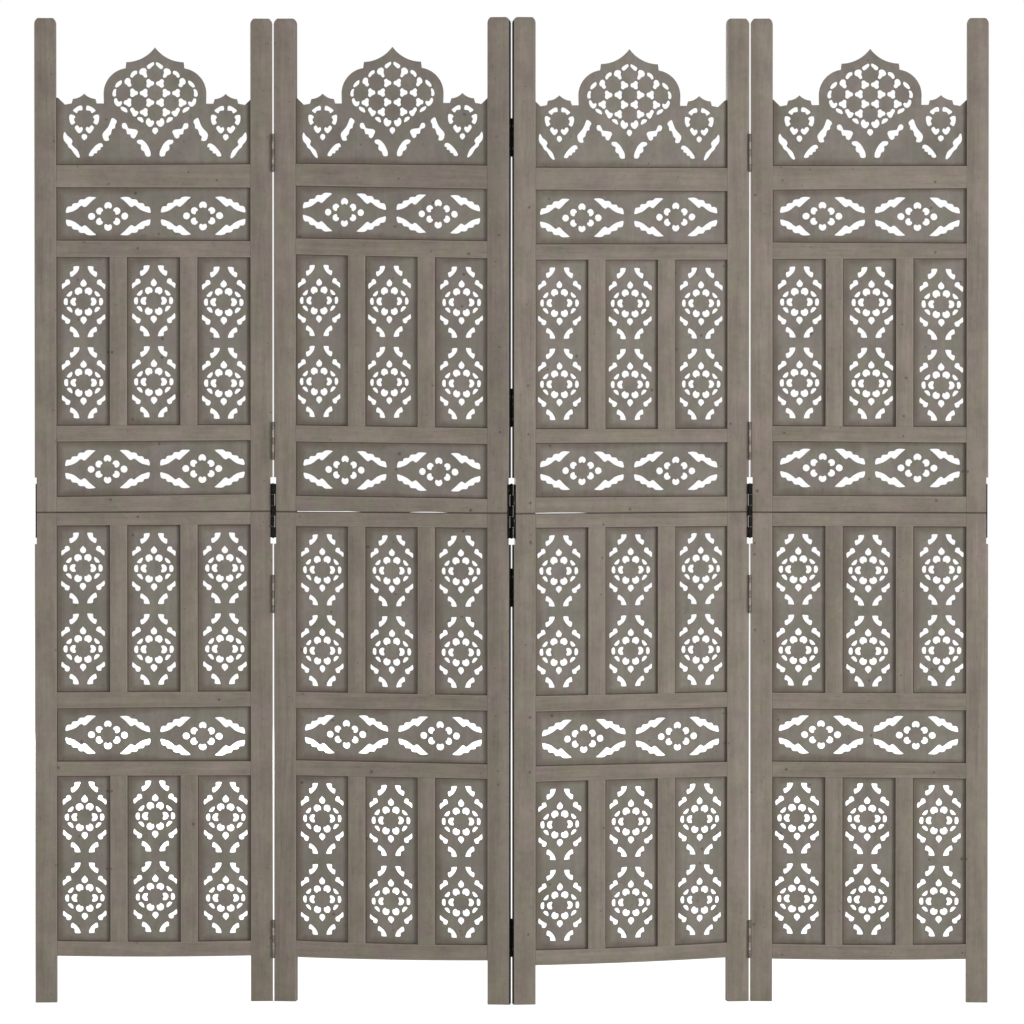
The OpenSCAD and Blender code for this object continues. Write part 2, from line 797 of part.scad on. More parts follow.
// Right half of the crest's outline, from its point down to the stile and the groove below
crest_half = concat(
    arc_between([0, crest_h], [cap_half_w, cap_corner_z], -cap_sag, cap_steps),
    arc_between([cap_foot_half_w, dome_shoulder_z], [dome_half_w, dome_side_z], dome_rise, dome_steps),
    [[dome_half_w, flat_z], [point_x - point_half_w, flat_z]],
    arc_between([point_x - point_half_w, point_corner_z], [point_x, point_z], -point_sag, point_steps),
    after_first(arc_between(
        [point_x, point_z], [point_x + point_half_w, point_corner_z], -point_sag, point_steps
    )),
    [
        [point_x + point_half_w, flat_z], [inner_w / 2 - dip_from_stile, dip_z],
        [inner_w / 2, crest_side_h], [inner_w / 2 + held, crest_side_h], [inner_w / 2 + held, -held]
    ]
);

// Outline of the fretted field in the dome, right half from the top down
field_half = concat(
    arc_between([0, field_top_z], [field_half_w, field_side_z], field_rise, field_steps),
    [[field_half_w, field_low_z], [0, field_tip_z]]
);

// Closes the right half of an outline with its mirror image
function with_mirror(half) = concat(
    half,
    [for (i = [len(half) - 1 : -1 : 0]) if (half[i][0] > close) [-half[i][0], half[i][1]]]
);

// Opening between three discs of the lattice, pointing along +X
module lattice_opening() {
    difference() {
        circle(r = lattice_corner - lattice_web, $fn = 3);
        for (a = [0, 120, 240])
            rotate(a)
                translate([lattice_corner, 0])
                    circle(r = lattice_disc_r);
    }
}

module dome_openings() {
    intersection() {
        polygon(with_mirror(field_half));
        both_sides()
            for (row = lattice_openings)
                for (third = row[1])
                    translate([third * lattice_column / 3, lattice_top_z - row[0] * lattice_row])
                        rotate(third % 3 == 2 ? 180 : 0)
                            lattice_opening();
    }
    both_sides()
        for (slot = edge_slots)
            translate([slot[0] * lattice_column, lattice_top_z - slot[1] * lattice_row])
                translate([-edge_slot_in, edge_slot_in])
                    rotate(edge_slot_tilt)
                        slot_hole(edge_slot_l, edge_slot_w);
    translate([0, lattice_top_z - drop_row * lattice_row])
        rotate(180)
            drop_hole(crest_drop_r);
}

// Ring of openings round a side rosette's disc
module rosette_openings() {
    both_sides() {
        translate([rosette_side_x, 0])
            rotate(90)
                slot_hole(rosette_slot_l, rosette_slot_w);
        translate([rosette_top_x, rosette_top_z])
            rotate(-rosette_top_tilt)
                slot_hole(rosette_slot_l, rosette_slot_w);
        difference() {
            translate([rosette_low_x, -rosette_low_z])
                rotate(180)
                    drop_hole(rosette_low_r);
            circle(r = rosette_disc_r);
        }
    }
    translate([0, -rosette_drop_z])
        rotate(180)
            drop_hole(crest_drop_r);
}

module crest_board() {
    standing(board_t)
        difference() {
            polygon(with_mirror(crest_half));
            dome_openings();
            both_sides() {
                translate([point_x, rosette_z])
                    rosette_openings();
                for (leaf = crest_leaves)
                    translate([leaf[0], leaf[1]])
                        rotate(leaf[4])
                            leaf_hole(leaf[2], leaf[3], leaf[5]);
                translate([inner_w / 2 - stile_leaf[0], stile_leaf[1]])
                    rotate(stile_leaf[4])
                        leaf_hole(stile_leaf[2], stile_leaf[3], stile_leaf[5]);
            }
        }
}

module crest(n) {
    color(board_wood)
        in_panel(n)
            translate([0, 0, crest_z])
                crest_board();
}

// Plate that holds the upper and the lower stile end to end, with X = 0 at the stile's edge
module joining_plate() {
    difference() {
        translate([plate_seat_d - plate_t, -plate_w / 2, meeting_z - plate_h / 2])
            cube([plate_t, plate_w, plate_h]);
        at_plate_screws()
            screw_hole();
    }
}

// The plates of one panel, with knuckles where it meets another panel
module joining_plates(n) {
    color(dark_metal)
        in_panel(n)
            for (side = [-1, 1]) {
                s = seam_at(n, side);
                at_edge(side)
                    joining_plate();
                if (is_seam(s))
                    at_pin(side, s, meeting_z)
                        knuckles(
                            plate_h, plate_seat_d, (frame_t - plate_w) / 2, has_three_knuckles(s, side)
                        );
            }
}

// Screws of the joining plates and of the hinge leaves on one panel
module screws(n) {
    color(dark_metal)
        in_panel(n)
            for (side = [-1, 1]) {
                at_edge(side)
                    at_plate_screws()
                        screw();
                s = seam_at(n, side);
                for (z = hinges_between(s, 0, top_z))
                    at_pin(side, s, z)
                        at_leaf_screws()
                            screw();
            }
}

// The odd or the even knuckles in a row of the given height, in the frame of the pin. Each has
// an arm of the given thickness to a leaf that starts at depth behind the face
module knuckles(height, arm_t, depth, odd) {
    knuckle_h = (height - (knuckle_count - 1) * knuckle_gap) / knuckle_count;
    for (k = [odd ? 0 : 1 : 2 : knuckle_count - 1])
        translate([0, 0, k * (knuckle_h + knuckle_gap) - height / 2])
            difference() {
                union() {
                    cylinder(h = knuckle_h, r = knuckle_r);
                    translate([hinge_gap / 2, 0, 0])
                        cube([arm_t, pin_out + depth, knuckle_h]);
                }
                translate([0, 0, -past])
                    cylinder(h = knuckle_h + 2 * past, r = pin_r + pin_play);
            }
}

// A hinge leaf with its knuckles, in the frame of its pin
module hinge_leaf(three) {
    difference() {
        translate([hinge_gap / 2, pin_out, -hinge_h / 2])
            cube([leaf_t, leaf_w, hinge_h]);
        at_leaf_screws()
            screw_hole();
    }
    knuckles(hinge_h, leaf_t, 0, three);
}

module hinge_leaves(s, side) {
    color(s == 2 ? dark_metal : grey_metal)
        for (z = hinges(s))
            at_hinge(side > 0 ? s : s + 1, side, s, z)
                hinge_leaf(has_three_knuckles(s, side));
}

// A hinge pin with a head at each end of a row of knuckles of the given height
module hinge_pin(height) {
    translate([0, 0, -height / 2])
        cylinder(h = height, r = pin_r);
    for (up = [0, 1])
        mirror([0, 0, up])
            translate([0, 0, height / 2]) {
                cylinder(h = pin_head_h / 2, r = pin_head_r);
                translate([0, 0, pin_head_h / 2])
                    cylinder(h = pin_head_h / 2, r1 = pin_head_r, r2 = pin_head_r / 2);
            }
}

// The pins belong to the panel whose leaves have three knuckles
module hinge_pins(s) {
    side = has_three_knuckles(s, 1) ? 1 : -1;
    n = side > 0 ? s : s + 1;
    color(s == 2 ? dark_metal : grey_metal)
        for (z = hinges(s))
            at_hinge(n, side, s, z)
                hinge_pin(hinge_h);
    color(dark_metal)
        at_hinge(n, side, s, meeting_z)
            hinge_pin(plate_h);
}

for (n = [1 : 4]) {
    upper_stile(n, -1);
    upper_stile(n, 1);
    lower_stile(n, -1);
    lower_stile(n, 1);
    upper_rails(n);
    lower_rails(n);
    muntins(n);
    crest(n);
    friezes(n);
    fret_boards(n);
    joining_plates(n);
    screws(n);
}
for (s = [1 : 3]) {
    hinge_leaves(s, 1);
    hinge_leaves(s, -1);
    hinge_pins(s);
}
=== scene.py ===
# The looks of the folding room divider: hand-sawn boards, eased sticks, worn metal and washed wood.
# Sizes of the shapes are in millimetres up to the point where a mesh is made.
import json
import math
import random
from bisect import bisect

import bmesh
import bpy
from mathutils import Matrix, Vector


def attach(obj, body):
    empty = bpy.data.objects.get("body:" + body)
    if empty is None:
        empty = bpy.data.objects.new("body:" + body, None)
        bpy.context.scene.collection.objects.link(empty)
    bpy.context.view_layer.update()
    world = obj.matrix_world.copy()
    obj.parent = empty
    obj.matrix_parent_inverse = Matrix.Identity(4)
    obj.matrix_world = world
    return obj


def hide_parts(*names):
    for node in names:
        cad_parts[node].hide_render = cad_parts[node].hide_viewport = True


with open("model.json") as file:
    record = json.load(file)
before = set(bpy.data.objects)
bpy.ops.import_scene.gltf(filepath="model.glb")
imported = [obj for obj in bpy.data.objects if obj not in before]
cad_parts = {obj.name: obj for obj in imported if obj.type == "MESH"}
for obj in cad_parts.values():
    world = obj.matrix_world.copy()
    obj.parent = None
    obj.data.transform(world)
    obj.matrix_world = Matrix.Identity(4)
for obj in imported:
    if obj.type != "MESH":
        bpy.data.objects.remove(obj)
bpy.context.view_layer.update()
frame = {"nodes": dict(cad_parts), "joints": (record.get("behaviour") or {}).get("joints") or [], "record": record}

scene = bpy.context.scene
MM = 0.001
# Points that lie closer than this, in metres, are one
WELD = 1e-6

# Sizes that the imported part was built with
PANEL_W = 397.6
STILE_W = 36.5
MUNTIN_W = 29.0
INNER_W = PANEL_W - 2 * STILE_W
FRET_W = (INNER_W - 2 * MUNTIN_W) / 3
COLUMN_PITCH = FRET_W + MUNTIN_W
BOARD_T = 6.0
HELD = 7.5
FRET_PITCH = 135.8
FRIEZE_STEP = 158.8
# Lower edges and heights of the openings
FRET_OPENINGS = [(100, 278), (520, 278), (966, 283)]
FRIEZE_OPENINGS = [404, 850, 1275]
FRIEZE_H = 90
MEETING_Z = 825.0
SPLIT_GAP = 1.0
CREST_Z = 1402.0
TOP_Z = 1650.0
HORN_CUT_H = 9.0
SCREW = {
    "Head Radius": 2.6, "Shank Radius": 1.5, "Point Radius": 0.5, "Length": 14.0, "Slot Width": 0.7,
    "Slot Depth": 0.6,
}
PANELS = (1, 2, 3, 4)
# The seams, and how much fuller than drawn the stiles' edges are there
SEAM_FULLNESS = {1: 0.5, 2: 0.75, 3: 0.5}


def panel_place(n):
    """Turns and moves panel n from its own middle to where it stands in the zigzag."""
    feet = {m["name"]: Vector(m["pos_m"]) for m in frame["record"]["mounts"]}
    left, right = feet[f"panel_{n}_left_foot"], feet[f"panel_{n}_right_foot"]
    across = right - left
    turn = math.atan2(across.y, across.x)
    return Matrix.Translation((left + right) / 2) @ Matrix.Rotation(turn, 4, "Z")


PLACES = {n: panel_place(n) for n in PANELS}


def put_in(name, data):
    """A new object in the scene."""
    made = bpy.data.objects.new(name, data)
    scene.collection.objects.link(made)
    return made


# Shapes of the sawn openings

# How far from its middle an opening's outline is looked for, and by how many halvings
SAW_REACH = 24.0
HALVINGS = 16


def sawn(x0, y0, rooms, count, soft=0.45):
    """Outline of an opening, followed all round from (x0, y0). Each of rooms gives the distance that one
    limit leaves at a point. Corners between limits are rounded, as a saw blade leaves them."""
    points = []
    for i in range(count):
        c, s = math.cos(math.tau * i / count), math.sin(math.tau * i / count)
        near, far = 0.0, SAW_REACH
        for _ in range(HALVINGS):
            middle = (near + far) / 2
            x, y = x0 + middle * c, y0 + middle * s
            if -soft * math.log(sum(math.exp(-room(x, y) / soft) for room in rooms)) > 0:
                near = middle
            else:
                far = middle
        points.append((x0 + near * c, y0 + near * s))
    return points


def off_disc(x0, y0, r):
    return lambda x, y: math.hypot(x - x0, y - y0) - r


def hole(x0, y0, r, limits, count):
    """A round opening, cut short by the limits."""
    return sawn(x0, y0, [lambda x, y: r - math.hypot(x - x0, y - y0), *limits], count)


def drop(x0, y0, r, point, up, count):
    """A round opening drawn out to a point at that distance, upwards (1) or downwards (-1)."""
    shoulder = math.acos(r / point)

    def room(x, y):
        dx, dy = x - x0, (y - y0) * up
        lean = math.atan2(abs(dx), dy)
        return (r / math.cos(shoulder - lean) if lean < shoulder else r) - math.hypot(dx, dy)
    return sawn(x0, y0, [room], count, soft=0.3)


# Drawn outlines, each point across and up from the middle of its motif
FRET_SLOT = [
    (27.5, 6.1), (31.2, 5.6), (32.9, 2.2), (32.9, -2.2), (31.2, -5.6), (27.5, -6.1), (26.1, -3.2), (26.1, 3.2),
]
FRET_WEDGE = [
    (18.7, 17.6), (20.1, 18.2), (23.9, 16.2), (28.2, 11.3), (27.7, 9.3), (24.8, 8.5), (21.6, 9.4),
    (19.3, 12.7), (18.6, 15.2),
]
SHORT_FRET_LEAF = [
    (24.4, 37.2), (27.4, 37.5), (30.3, 36.0), (31.0, 32.3), (33.1, 31.3), (36.2, 29.0), (36.5, 24.7),
    (35.6, 21.0), (33.8, 22.0), (29.8, 25.6), (25.3, 28.3), (22.5, 29.9), (21.9, 32.2), (22.9, 35.4),
]
LONG_FRET_LEAF = [
    (6.9, 59.0), (8.8, 59.7), (15.6, 59.3), (17.0, 56.9), (16.9, 53.0), (19.3, 51.0), (22.3, 50.1),
    (23.0, 47.2), (21.9, 42.5), (19.8, 41.7), (16.3, 43.6), (12.3, 47.2), (9.3, 51.2), (7.5, 55.2),
]
FRIEZE_LEAF = [
    (20.4, 31.4), (24.1, 32.2), (31.3, 32.4), (36.3, 31.1), (39.2, 28.4), (45.2, 28.2), (48.8, 26.6),
    (50.5, 23.0), (53.6, 22.2), (58.0, 21.8), (60.4, 19.8), (61.6, 16.8), (66.3, 16.5), (69.3, 14.8),
    (70.6, 10.7), (71.0, 6.5), (69.1, 5.4), (64.1, 6.6), (57.4, 8.8), (51.9, 12.1), (47.4, 15.8),
    (44.1, 17.5), (41.5, 15.7), (38.6, 15.0), (35.2, 17.2), (30.8, 21.7), (25.2, 26.8), (20.6, 30.6),
]
ROSETTE_OPENINGS = [
    [(2.8, 17.2), (3.6, 24.0), (8.4, 24.0), (14.2, 20.6), (18.9, 16.4), (15.9, 13.2), (12.2, 11.7),
     (10.0, 15.5), (6.7, 16.2)],
    [(20.4, 9.5), (24.4, 8.6), (24.9, 2.5), (23.5, -4.2), (20.7, -7.9), (16.5, -5.7), (15.1, -3.4),
     (17.0, 0.2), (16.2, 3.2), (14.7, 4.7), (15.9, 7.4)],
    [(4.5, -11.0), (7.9, -12.6), (10.2, -9.4), (13.4, -8.7), (16.1, -12.2), (14.2, -16.8), (9.4, -22.0),
     (5.0, -20.1), (2.1, -15.1)],
]
# From the middle of the crest board and the top rail's upper edge
CREST_LEAVES = [
    [(21.0, 42.8), (25.2, 43.6), (29.9, 42.8), (30.6, 39.2), (27.8, 36.2), (23.6, 34.4), (24.4, 29.8),
     (22.6, 25.6), (18.6, 23.6), (17.0, 18.3), (14.3, 15.5), (8.5, 15.5), (7.3, 19.2), (8.0, 24.2),
     (11.0, 30.8), (15.2, 37.7)],
    [(49.3, 71.2), (54.3, 71.0), (55.8, 66.7), (53.9, 62.2), (48.9, 60.7), (47.5, 56.5), (46.2, 52.6),
     (41.4, 52.2), (40.6, 47.9), (36.8, 45.4), (33.2, 47.2), (30.9, 51.7), (28.9, 56.7), (31.6, 60.4),
     (38.5, 61.7), (44.6, 62.6), (46.5, 66.9)],
    [(71.0, 80.3), (73.5, 77.7), (76.0, 70.8), (79.5, 64.0), (84.6, 58.3), (88.0, 53.3), (87.9, 48.3),
     (85.2, 42.4), (80.2, 41.2), (76.8, 43.0), (78.0, 48.6), (74.4, 52.0), (73.2, 56.2), (71.2, 61.4),
     (67.3, 62.5), (66.6, 68.3), (63.9, 73.3), (65.9, 77.2)],
    [(87.3, 34.0), (89.4, 37.2), (95.0, 36.8), (101.2, 31.9), (107.2, 25.0), (111.0, 18.0), (108.5, 15.6),
     (103.4, 16.4), (101.7, 20.2), (97.0, 20.8), (96.1, 24.8), (91.3, 26.0), (91.0, 30.0), (87.6, 31.0)],
    [(152.7, 54.4), (153.4, 47.5), (152.0, 41.5), (147.0, 35.6), (144.6, 30.4), (140.4, 27.3), (137.0, 22.3),
     (132.9, 16.4), (128.5, 12.9), (126.0, 14.0), (127.0, 19.2), (130.0, 25.9), (135.2, 30.8), (139.7, 35.6),
     (138.0, 40.8), (141.6, 46.2), (146.8, 50.2), (150.4, 56.2)],
]


def drawn(points, x0=0.0, y0=0.0):
    """A smooth closed line through the points."""
    loop = []
    for i, here in enumerate(points):
        before, after, beyond = (points[(i + k) % len(points)] for k in (-1, 1, 2))
        middle = [(9 * (here[k] + after[k]) - before[k] - beyond[k]) / 16 for k in (0, 1)]
        loop += [(x0 + here[0], y0 + here[1]), (x0 + middle[0], y0 + middle[1])]
    return loop


def tightened(loops, by):
    """The same openings, cut that much smaller (or, below zero, wider) all round."""
    tight = []
    for loop in loops:
        ring = [Vector(p) for p in loop]
        area = sum(ring[i - 1].cross(ring[i]) for i in range(len(ring)))
        inward = by if area > 0 else -by
        made = []
        for i, here in enumerate(ring):
            along = (ring[(i + 1) % len(ring)] - ring[i - 1]).normalized()
            made.append((here.x - along.y * inward, here.y + along.x * inward))
        tight.append(made)
    return tight


def mirrored(loops, flip_x, flip_y):
    return [[(x * flip_x, y * flip_y) for x, y in loop] for loop in loops]


def both_sides(loops):
    return loops + mirrored(loops, -1, 1)


def all_quarters(loops):
    return [loop for x in (1, -1) for y in (1, -1) for loop in mirrored(loops, x, y)]


def off_spur(x, y, reach, r):
    """Off the spur of wood that the saw left at the end of its cut, towards an opening at (x, y)."""
    d = math.hypot(x, y)
    return off_disc(x / d * reach, y / d * reach, r)


def fret_motif():
    middle = off_disc(0, 0, 12.9)
    petal = hole(8.3, 17.1, 6.5, [middle, off_spur(8.3, 17.1, 12.9, 1.7)], 28)
    side = hole(15.3, 0, 6.9, [middle, off_spur(15.3, 0, 12.5, 1.3)], 28)
    drops = [drop(0, up * 30, 5.4, 7.9, up, 24) for up in (1, -1)]
    leaves = [drawn(shape) for shape in (FRET_WEDGE, SHORT_FRET_LEAF, LONG_FRET_LEAF)]
    return both_sides([side]) + drops + both_sides([drawn(FRET_SLOT)]) + all_quarters([petal] + leaves)


def frieze_motif():
    side = hole(27.6, 0, 6.0, [], 20)
    top = hole(0, 17.6, 6.6, [off_disc(0, 0, 13.3), off_spur(0, 17.6, 13.4, 1.2)], 26)
    corner = hole(14.3, 8.7, 6.2, [off_disc(0, 0, 12.4), off_spur(14.3, 8.7, 12.3, 1.2)], 24)
    return both_sides([side]) + [top] + mirrored([top], 1, -1) + all_quarters([corner, drawn(FRIEZE_LEAF)])


# Sizes of the crest, from the top rail's upper edge
LATTICE_PITCH = 31.3
LATTICE_STRETCH = 1.035
LATTICE_TOP = 154.2
# Whole openings of the lattice's right half: rows down from the top, thirds of a column to the right
LATTICE_CELLS = {1: [1], 2: [2, 4], 3: [1, 5], 4: [2]}
# Reach of a whole opening at angles from each of its three lobes
LOBE_REACH = [(-60, 4.35), (-40, 4.95), (-22, 6.45), (0, 7.0), (22, 6.45), (40, 4.95)]
# Openings along the lattice's edge, from the top round to the lower tip
LATTICE_EDGE = [
    [(2.2, 172.0), (3.4, 172.9), (8.5, 170.3), (12.8, 166.9), (12.6, 164.2), (10.5, 162.6), (8.0, 163.4),
     (4.8, 166.5), (2.2, 169.2)],
    [(16.4, 162.4), (19.8, 162.9), (23.7, 161.4), (26.0, 157.5), (25.0, 153.7), (21.8, 152.5), (19.5, 151.2),
     (17.8, 148.6), (15.2, 147.9), (13.4, 149.5), (14.3, 152.8), (15.2, 156.2), (14.7, 159.8)],
    [(30.3, 157.6), (31.8, 158.8), (35.5, 158.0), (38.7, 155.2), (40.6, 151.2), (40.0, 148.6), (37.8, 148.0),
     (35.7, 150.5), (33.5, 152.8), (30.8, 154.0)],
    [(42.4, 145.4), (45.5, 146.8), (48.7, 145.0), (50.6, 140.8), (49.7, 137.3), (46.8, 135.7), (45.3, 133.3),
     (43.0, 132.2), (40.4, 133.5), (40.0, 135.8), (41.5, 138.8), (41.3, 142.5)],
    [(56.0, 141.9), (57.8, 142.1), (62.7, 138.8), (65.7, 134.5), (66.0, 132.0), (63.8, 131.4), (60.5, 133.5),
     (57.5, 135.8), (56.0, 138.8)],
    [(65.0, 127.6), (67.2, 128.0), (69.8, 125.2), (71.0, 120.8), (70.3, 116.7), (67.8, 115.9), (65.7, 117.5),
     (66.2, 121.2), (65.6, 124.8)],
    [(64.9, 112.3), (67.4, 111.8), (68.3, 109.2), (67.0, 104.5), (64.4, 100.9), (61.2, 99.4), (58.3, 100.3),
     (56.4, 103.2), (55.8, 106.0), (57.3, 107.6), (59.5, 106.5), (61.5, 106.8), (63.2, 109.2)],
    [(56.4, 98.3), (57.0, 96.2), (54.8, 92.9), (50.2, 90.4), (47.0, 89.1), (46.4, 91.8), (48.5, 95.3),
     (52.5, 97.4)],
    [(38.2, 97.0), (40.7, 95.7), (41.0, 92.8), (38.7, 88.8), (36.7, 84.5), (34.2, 82.7), (31.3, 84.0),
     (28.7, 87.5), (28.4, 90.1), (30.8, 91.5), (33.8, 92.2), (35.6, 95.2)],
    [(22.5, 80.3), (26.5, 81.0), (29.3, 80.3), (28.6, 77.5), (24.5, 74.4), (20.6, 72.5), (19.5, 73.9),
     (20.4, 77.2)],
    [(10.9, 79.3), (13.6, 77.7), (15.0, 73.5), (13.7, 68.9), (10.2, 65.7), (6.5, 66.0), (3.0, 69.8),
     (2.4, 73.4), (4.3, 75.3), (6.8, 74.8), (8.6, 77.2)],
]
POINT_X = INNER_W / 2 - 44
ROSETTE_Z = 76.0


def arc(p, q, rise, steps):
    """Points from p to q along an arc whose middle rises to the left of the line by rise."""
    p, q = Vector(p), Vector(q)
    half = (q - p).length / 2
    r = (half * half + rise * rise) / (2 * rise)
    along = (q - p).normalized()
    left = Vector((-along.y, along.x))
    centre = (p + q) / 2 + left * (rise - r)
    half_angle = math.asin(half / abs(r))
    points = []
    for i in range(steps + 1):
        a = (2 * i / steps - 1) * half_angle
        points.append(tuple(centre + left * r * math.cos(a) + along * abs(r) * math.sin(a)))
    return points


def lattice_openings():
    """The openings between the discs of the dome's lattice, for its right half."""
    column, row_h = LATTICE_PITCH * math.cos(math.radians(30)), LATTICE_PITCH / 2 * LATTICE_STRETCH
    loops = [drawn(shape) for shape in LATTICE_EDGE]
    for row, thirds in LATTICE_CELLS.items():
        for third in thirds:
            first = 0 if third % 3 == 2 else 60
            corners = []
            for lobe in (0, 120, 240):
                for lean, reach in LOBE_REACH:
                    a = math.radians(first + lobe + lean)
                    corners.append((reach * math.cos(a), reach * math.sin(a) * LATTICE_STRETCH))
            loops.append(drawn(corners, third * column / 3, LATTICE_TOP - row * row_h))
    return loops


def crest_openings():
    right = tightened(lattice_openings(), -0.62)
    for shape in ROSETTE_OPENINGS:
        right.append(drawn(shape, POINT_X, ROSETTE_Z))
        right.append(drawn([(-x, y) for x, y in reversed(shape)], POINT_X, ROSETTE_Z))
    right.append(drop(POINT_X, ROSETTE_Z - 27.7, 4.9, 6.6, -1, 22))
    right += [drawn(shape) for shape in CREST_LEAVES]
    return both_sides(right) + [drop(0, 59.0, 5.0, 7.4, -1, 22)]


def crest_outline():
    cap = arc((0, 198), (48, 173.2), -6.3, 12)
    dome = arc((49.2, 163), (86, 120), 10.6, 14)
    rise = arc((POINT_X - 18.5, 111.6), (POINT_X, 120.3), -2.0, 7)
    fall = arc((POINT_X, 120.3), (POINT_X + 18.9, 111.6), -2.0, 7)
    half = INNER_W / 2
    right = cap + dome + [(85.6, 104), (POINT_X - 20.8, 104)] + rise + fall[1:] + [
        (POINT_X + 21.2, 104), (half - 11.8, 102), (half, 113.5), (half + HELD, 113.5), (half + HELD, -HELD)
    ]
    return right + [(-x, y) for x, y in reversed(right) if x > 0.001]


def board_outline(width, height):
    """A plain board for an opening of that size, with the edges that its grooves hold."""
    x, y = (width + 2 * HELD) / 2, (height + 2 * HELD) / 2
    return [(-x, -y), (x, -y), (x, y), (-x, y)]


def curves_object(name, loops):
    """A curve object with one closed line for each loop, for a board tree to read."""
    data = bpy.data.curves.new(name, "CURVE")
    data.dimensions = "3D"
    for loop in loops:
        spline = data.splines.new("POLY")
        spline.points.add(len(loop) - 1)
        spline.points.foreach_set("co", [c for x, y in loop for c in (x * MM, y * MM, 0.0, 1.0)])
        spline.use_cyclic_u = True
    return put_in(name, data)


# Node trees

class Nodes:
    """A node tree under construction, with short names for what it is often made of."""

    def __init__(self, tree):
        self.tree = tree

    def node(self, kind, values=(), **settings):
        """A node with its settings. Inputs are given by name or by number, and a list of sockets goes
        into an input that joins several."""
        node = self.tree.nodes.new(kind)
        for key, value in settings.items():
            setattr(node, key, value)
        for key, given in dict(values).items():
            for value in given if isinstance(given, list) else [given]:
                if isinstance(value, bpy.types.NodeSocket):
                    self.tree.links.new(value, node.inputs[key])
                elif value is not None:
                    node.inputs[key].default_value = value
        return node

    def made(self, kind, values=(), **settings):
        """The first output of such a node."""
        return self.node(kind, values, **settings).outputs[0]

    def math(self, op, a, b=None):
        return self.made("ShaderNodeMath", {0: a, 1: b}, operation=op)

    def plus(self, a, b):
        return self.math("ADD", a, b)

    def less(self, a, b):
        return self.math("SUBTRACT", a, b)

    def times(self, a, b):
        return self.math("MULTIPLY", a, b)

    def vector(self, op, a, b=None, scale=None):
        return self.made("ShaderNodeVectorMath", {0: a, 1: b, 3: scale}, operation=op)

    def xyz(self, x=None, y=None, z=None):
        return self.made("ShaderNodeCombineXYZ", {0: x, 1: y, 2: z})

    def band(self, value, low, high, at_low=0.0, at_high=1.0):
        """Goes from at_low to at_high while the value goes from low to high."""
        return self.made("ShaderNodeMapRange", {0: value, 1: low, 2: high, 3: at_low, 4: at_high})

    def seen(self):
        """1 for rays that show a thing to the eye, also in metal or glass, else 0."""
        rays = self.node("ShaderNodeLightPath").outputs
        direct = self.math("MAXIMUM", rays["Is Camera Ray"], rays["Is Glossy Ray"])
        return self.math("MAXIMUM", direct, rays["Is Transmission Ray"])


def new_tree(name, wanted):
    """An empty Geometry Nodes tree with the wanted inputs, and the sockets that give them."""
    tree = bpy.data.node_groups.new(name, "GeometryNodeTree")
    for label, kind in wanted.items():
        tree.interface.new_socket(name=label, in_out="INPUT", socket_type="NodeSocket" + kind)
    tree.interface.new_socket(name="Geometry", in_out="OUTPUT", socket_type="NodeSocketGeometry")
    t = Nodes(tree)
    return t, t.node("NodeGroupInput").outputs


def shape_of(t, given):
    """The geometry of the object that an input gives."""
    return t.node("GeometryNodeObjectInfo", {"Object": given}, transform_space="ORIGINAL").outputs["Geometry"]


def on_points(t, points, shape, turn=None):
    return t.made("GeometryNodeInstanceOnPoints", {"Points": points, "Instance": shape, "Rotation": turn})


def real(t, shape):
    return t.made("GeometryNodeRealizeInstances", {0: shape})


def end_tree(t, shape, material):
    """Ends a tree with Realize Instances and Set Material."""
    done = t.made("GeometryNodeSetMaterial", {"Geometry": real(t, shape), "Material": material})
    t.node("NodeGroupOutput", {0: done})
    return t.tree


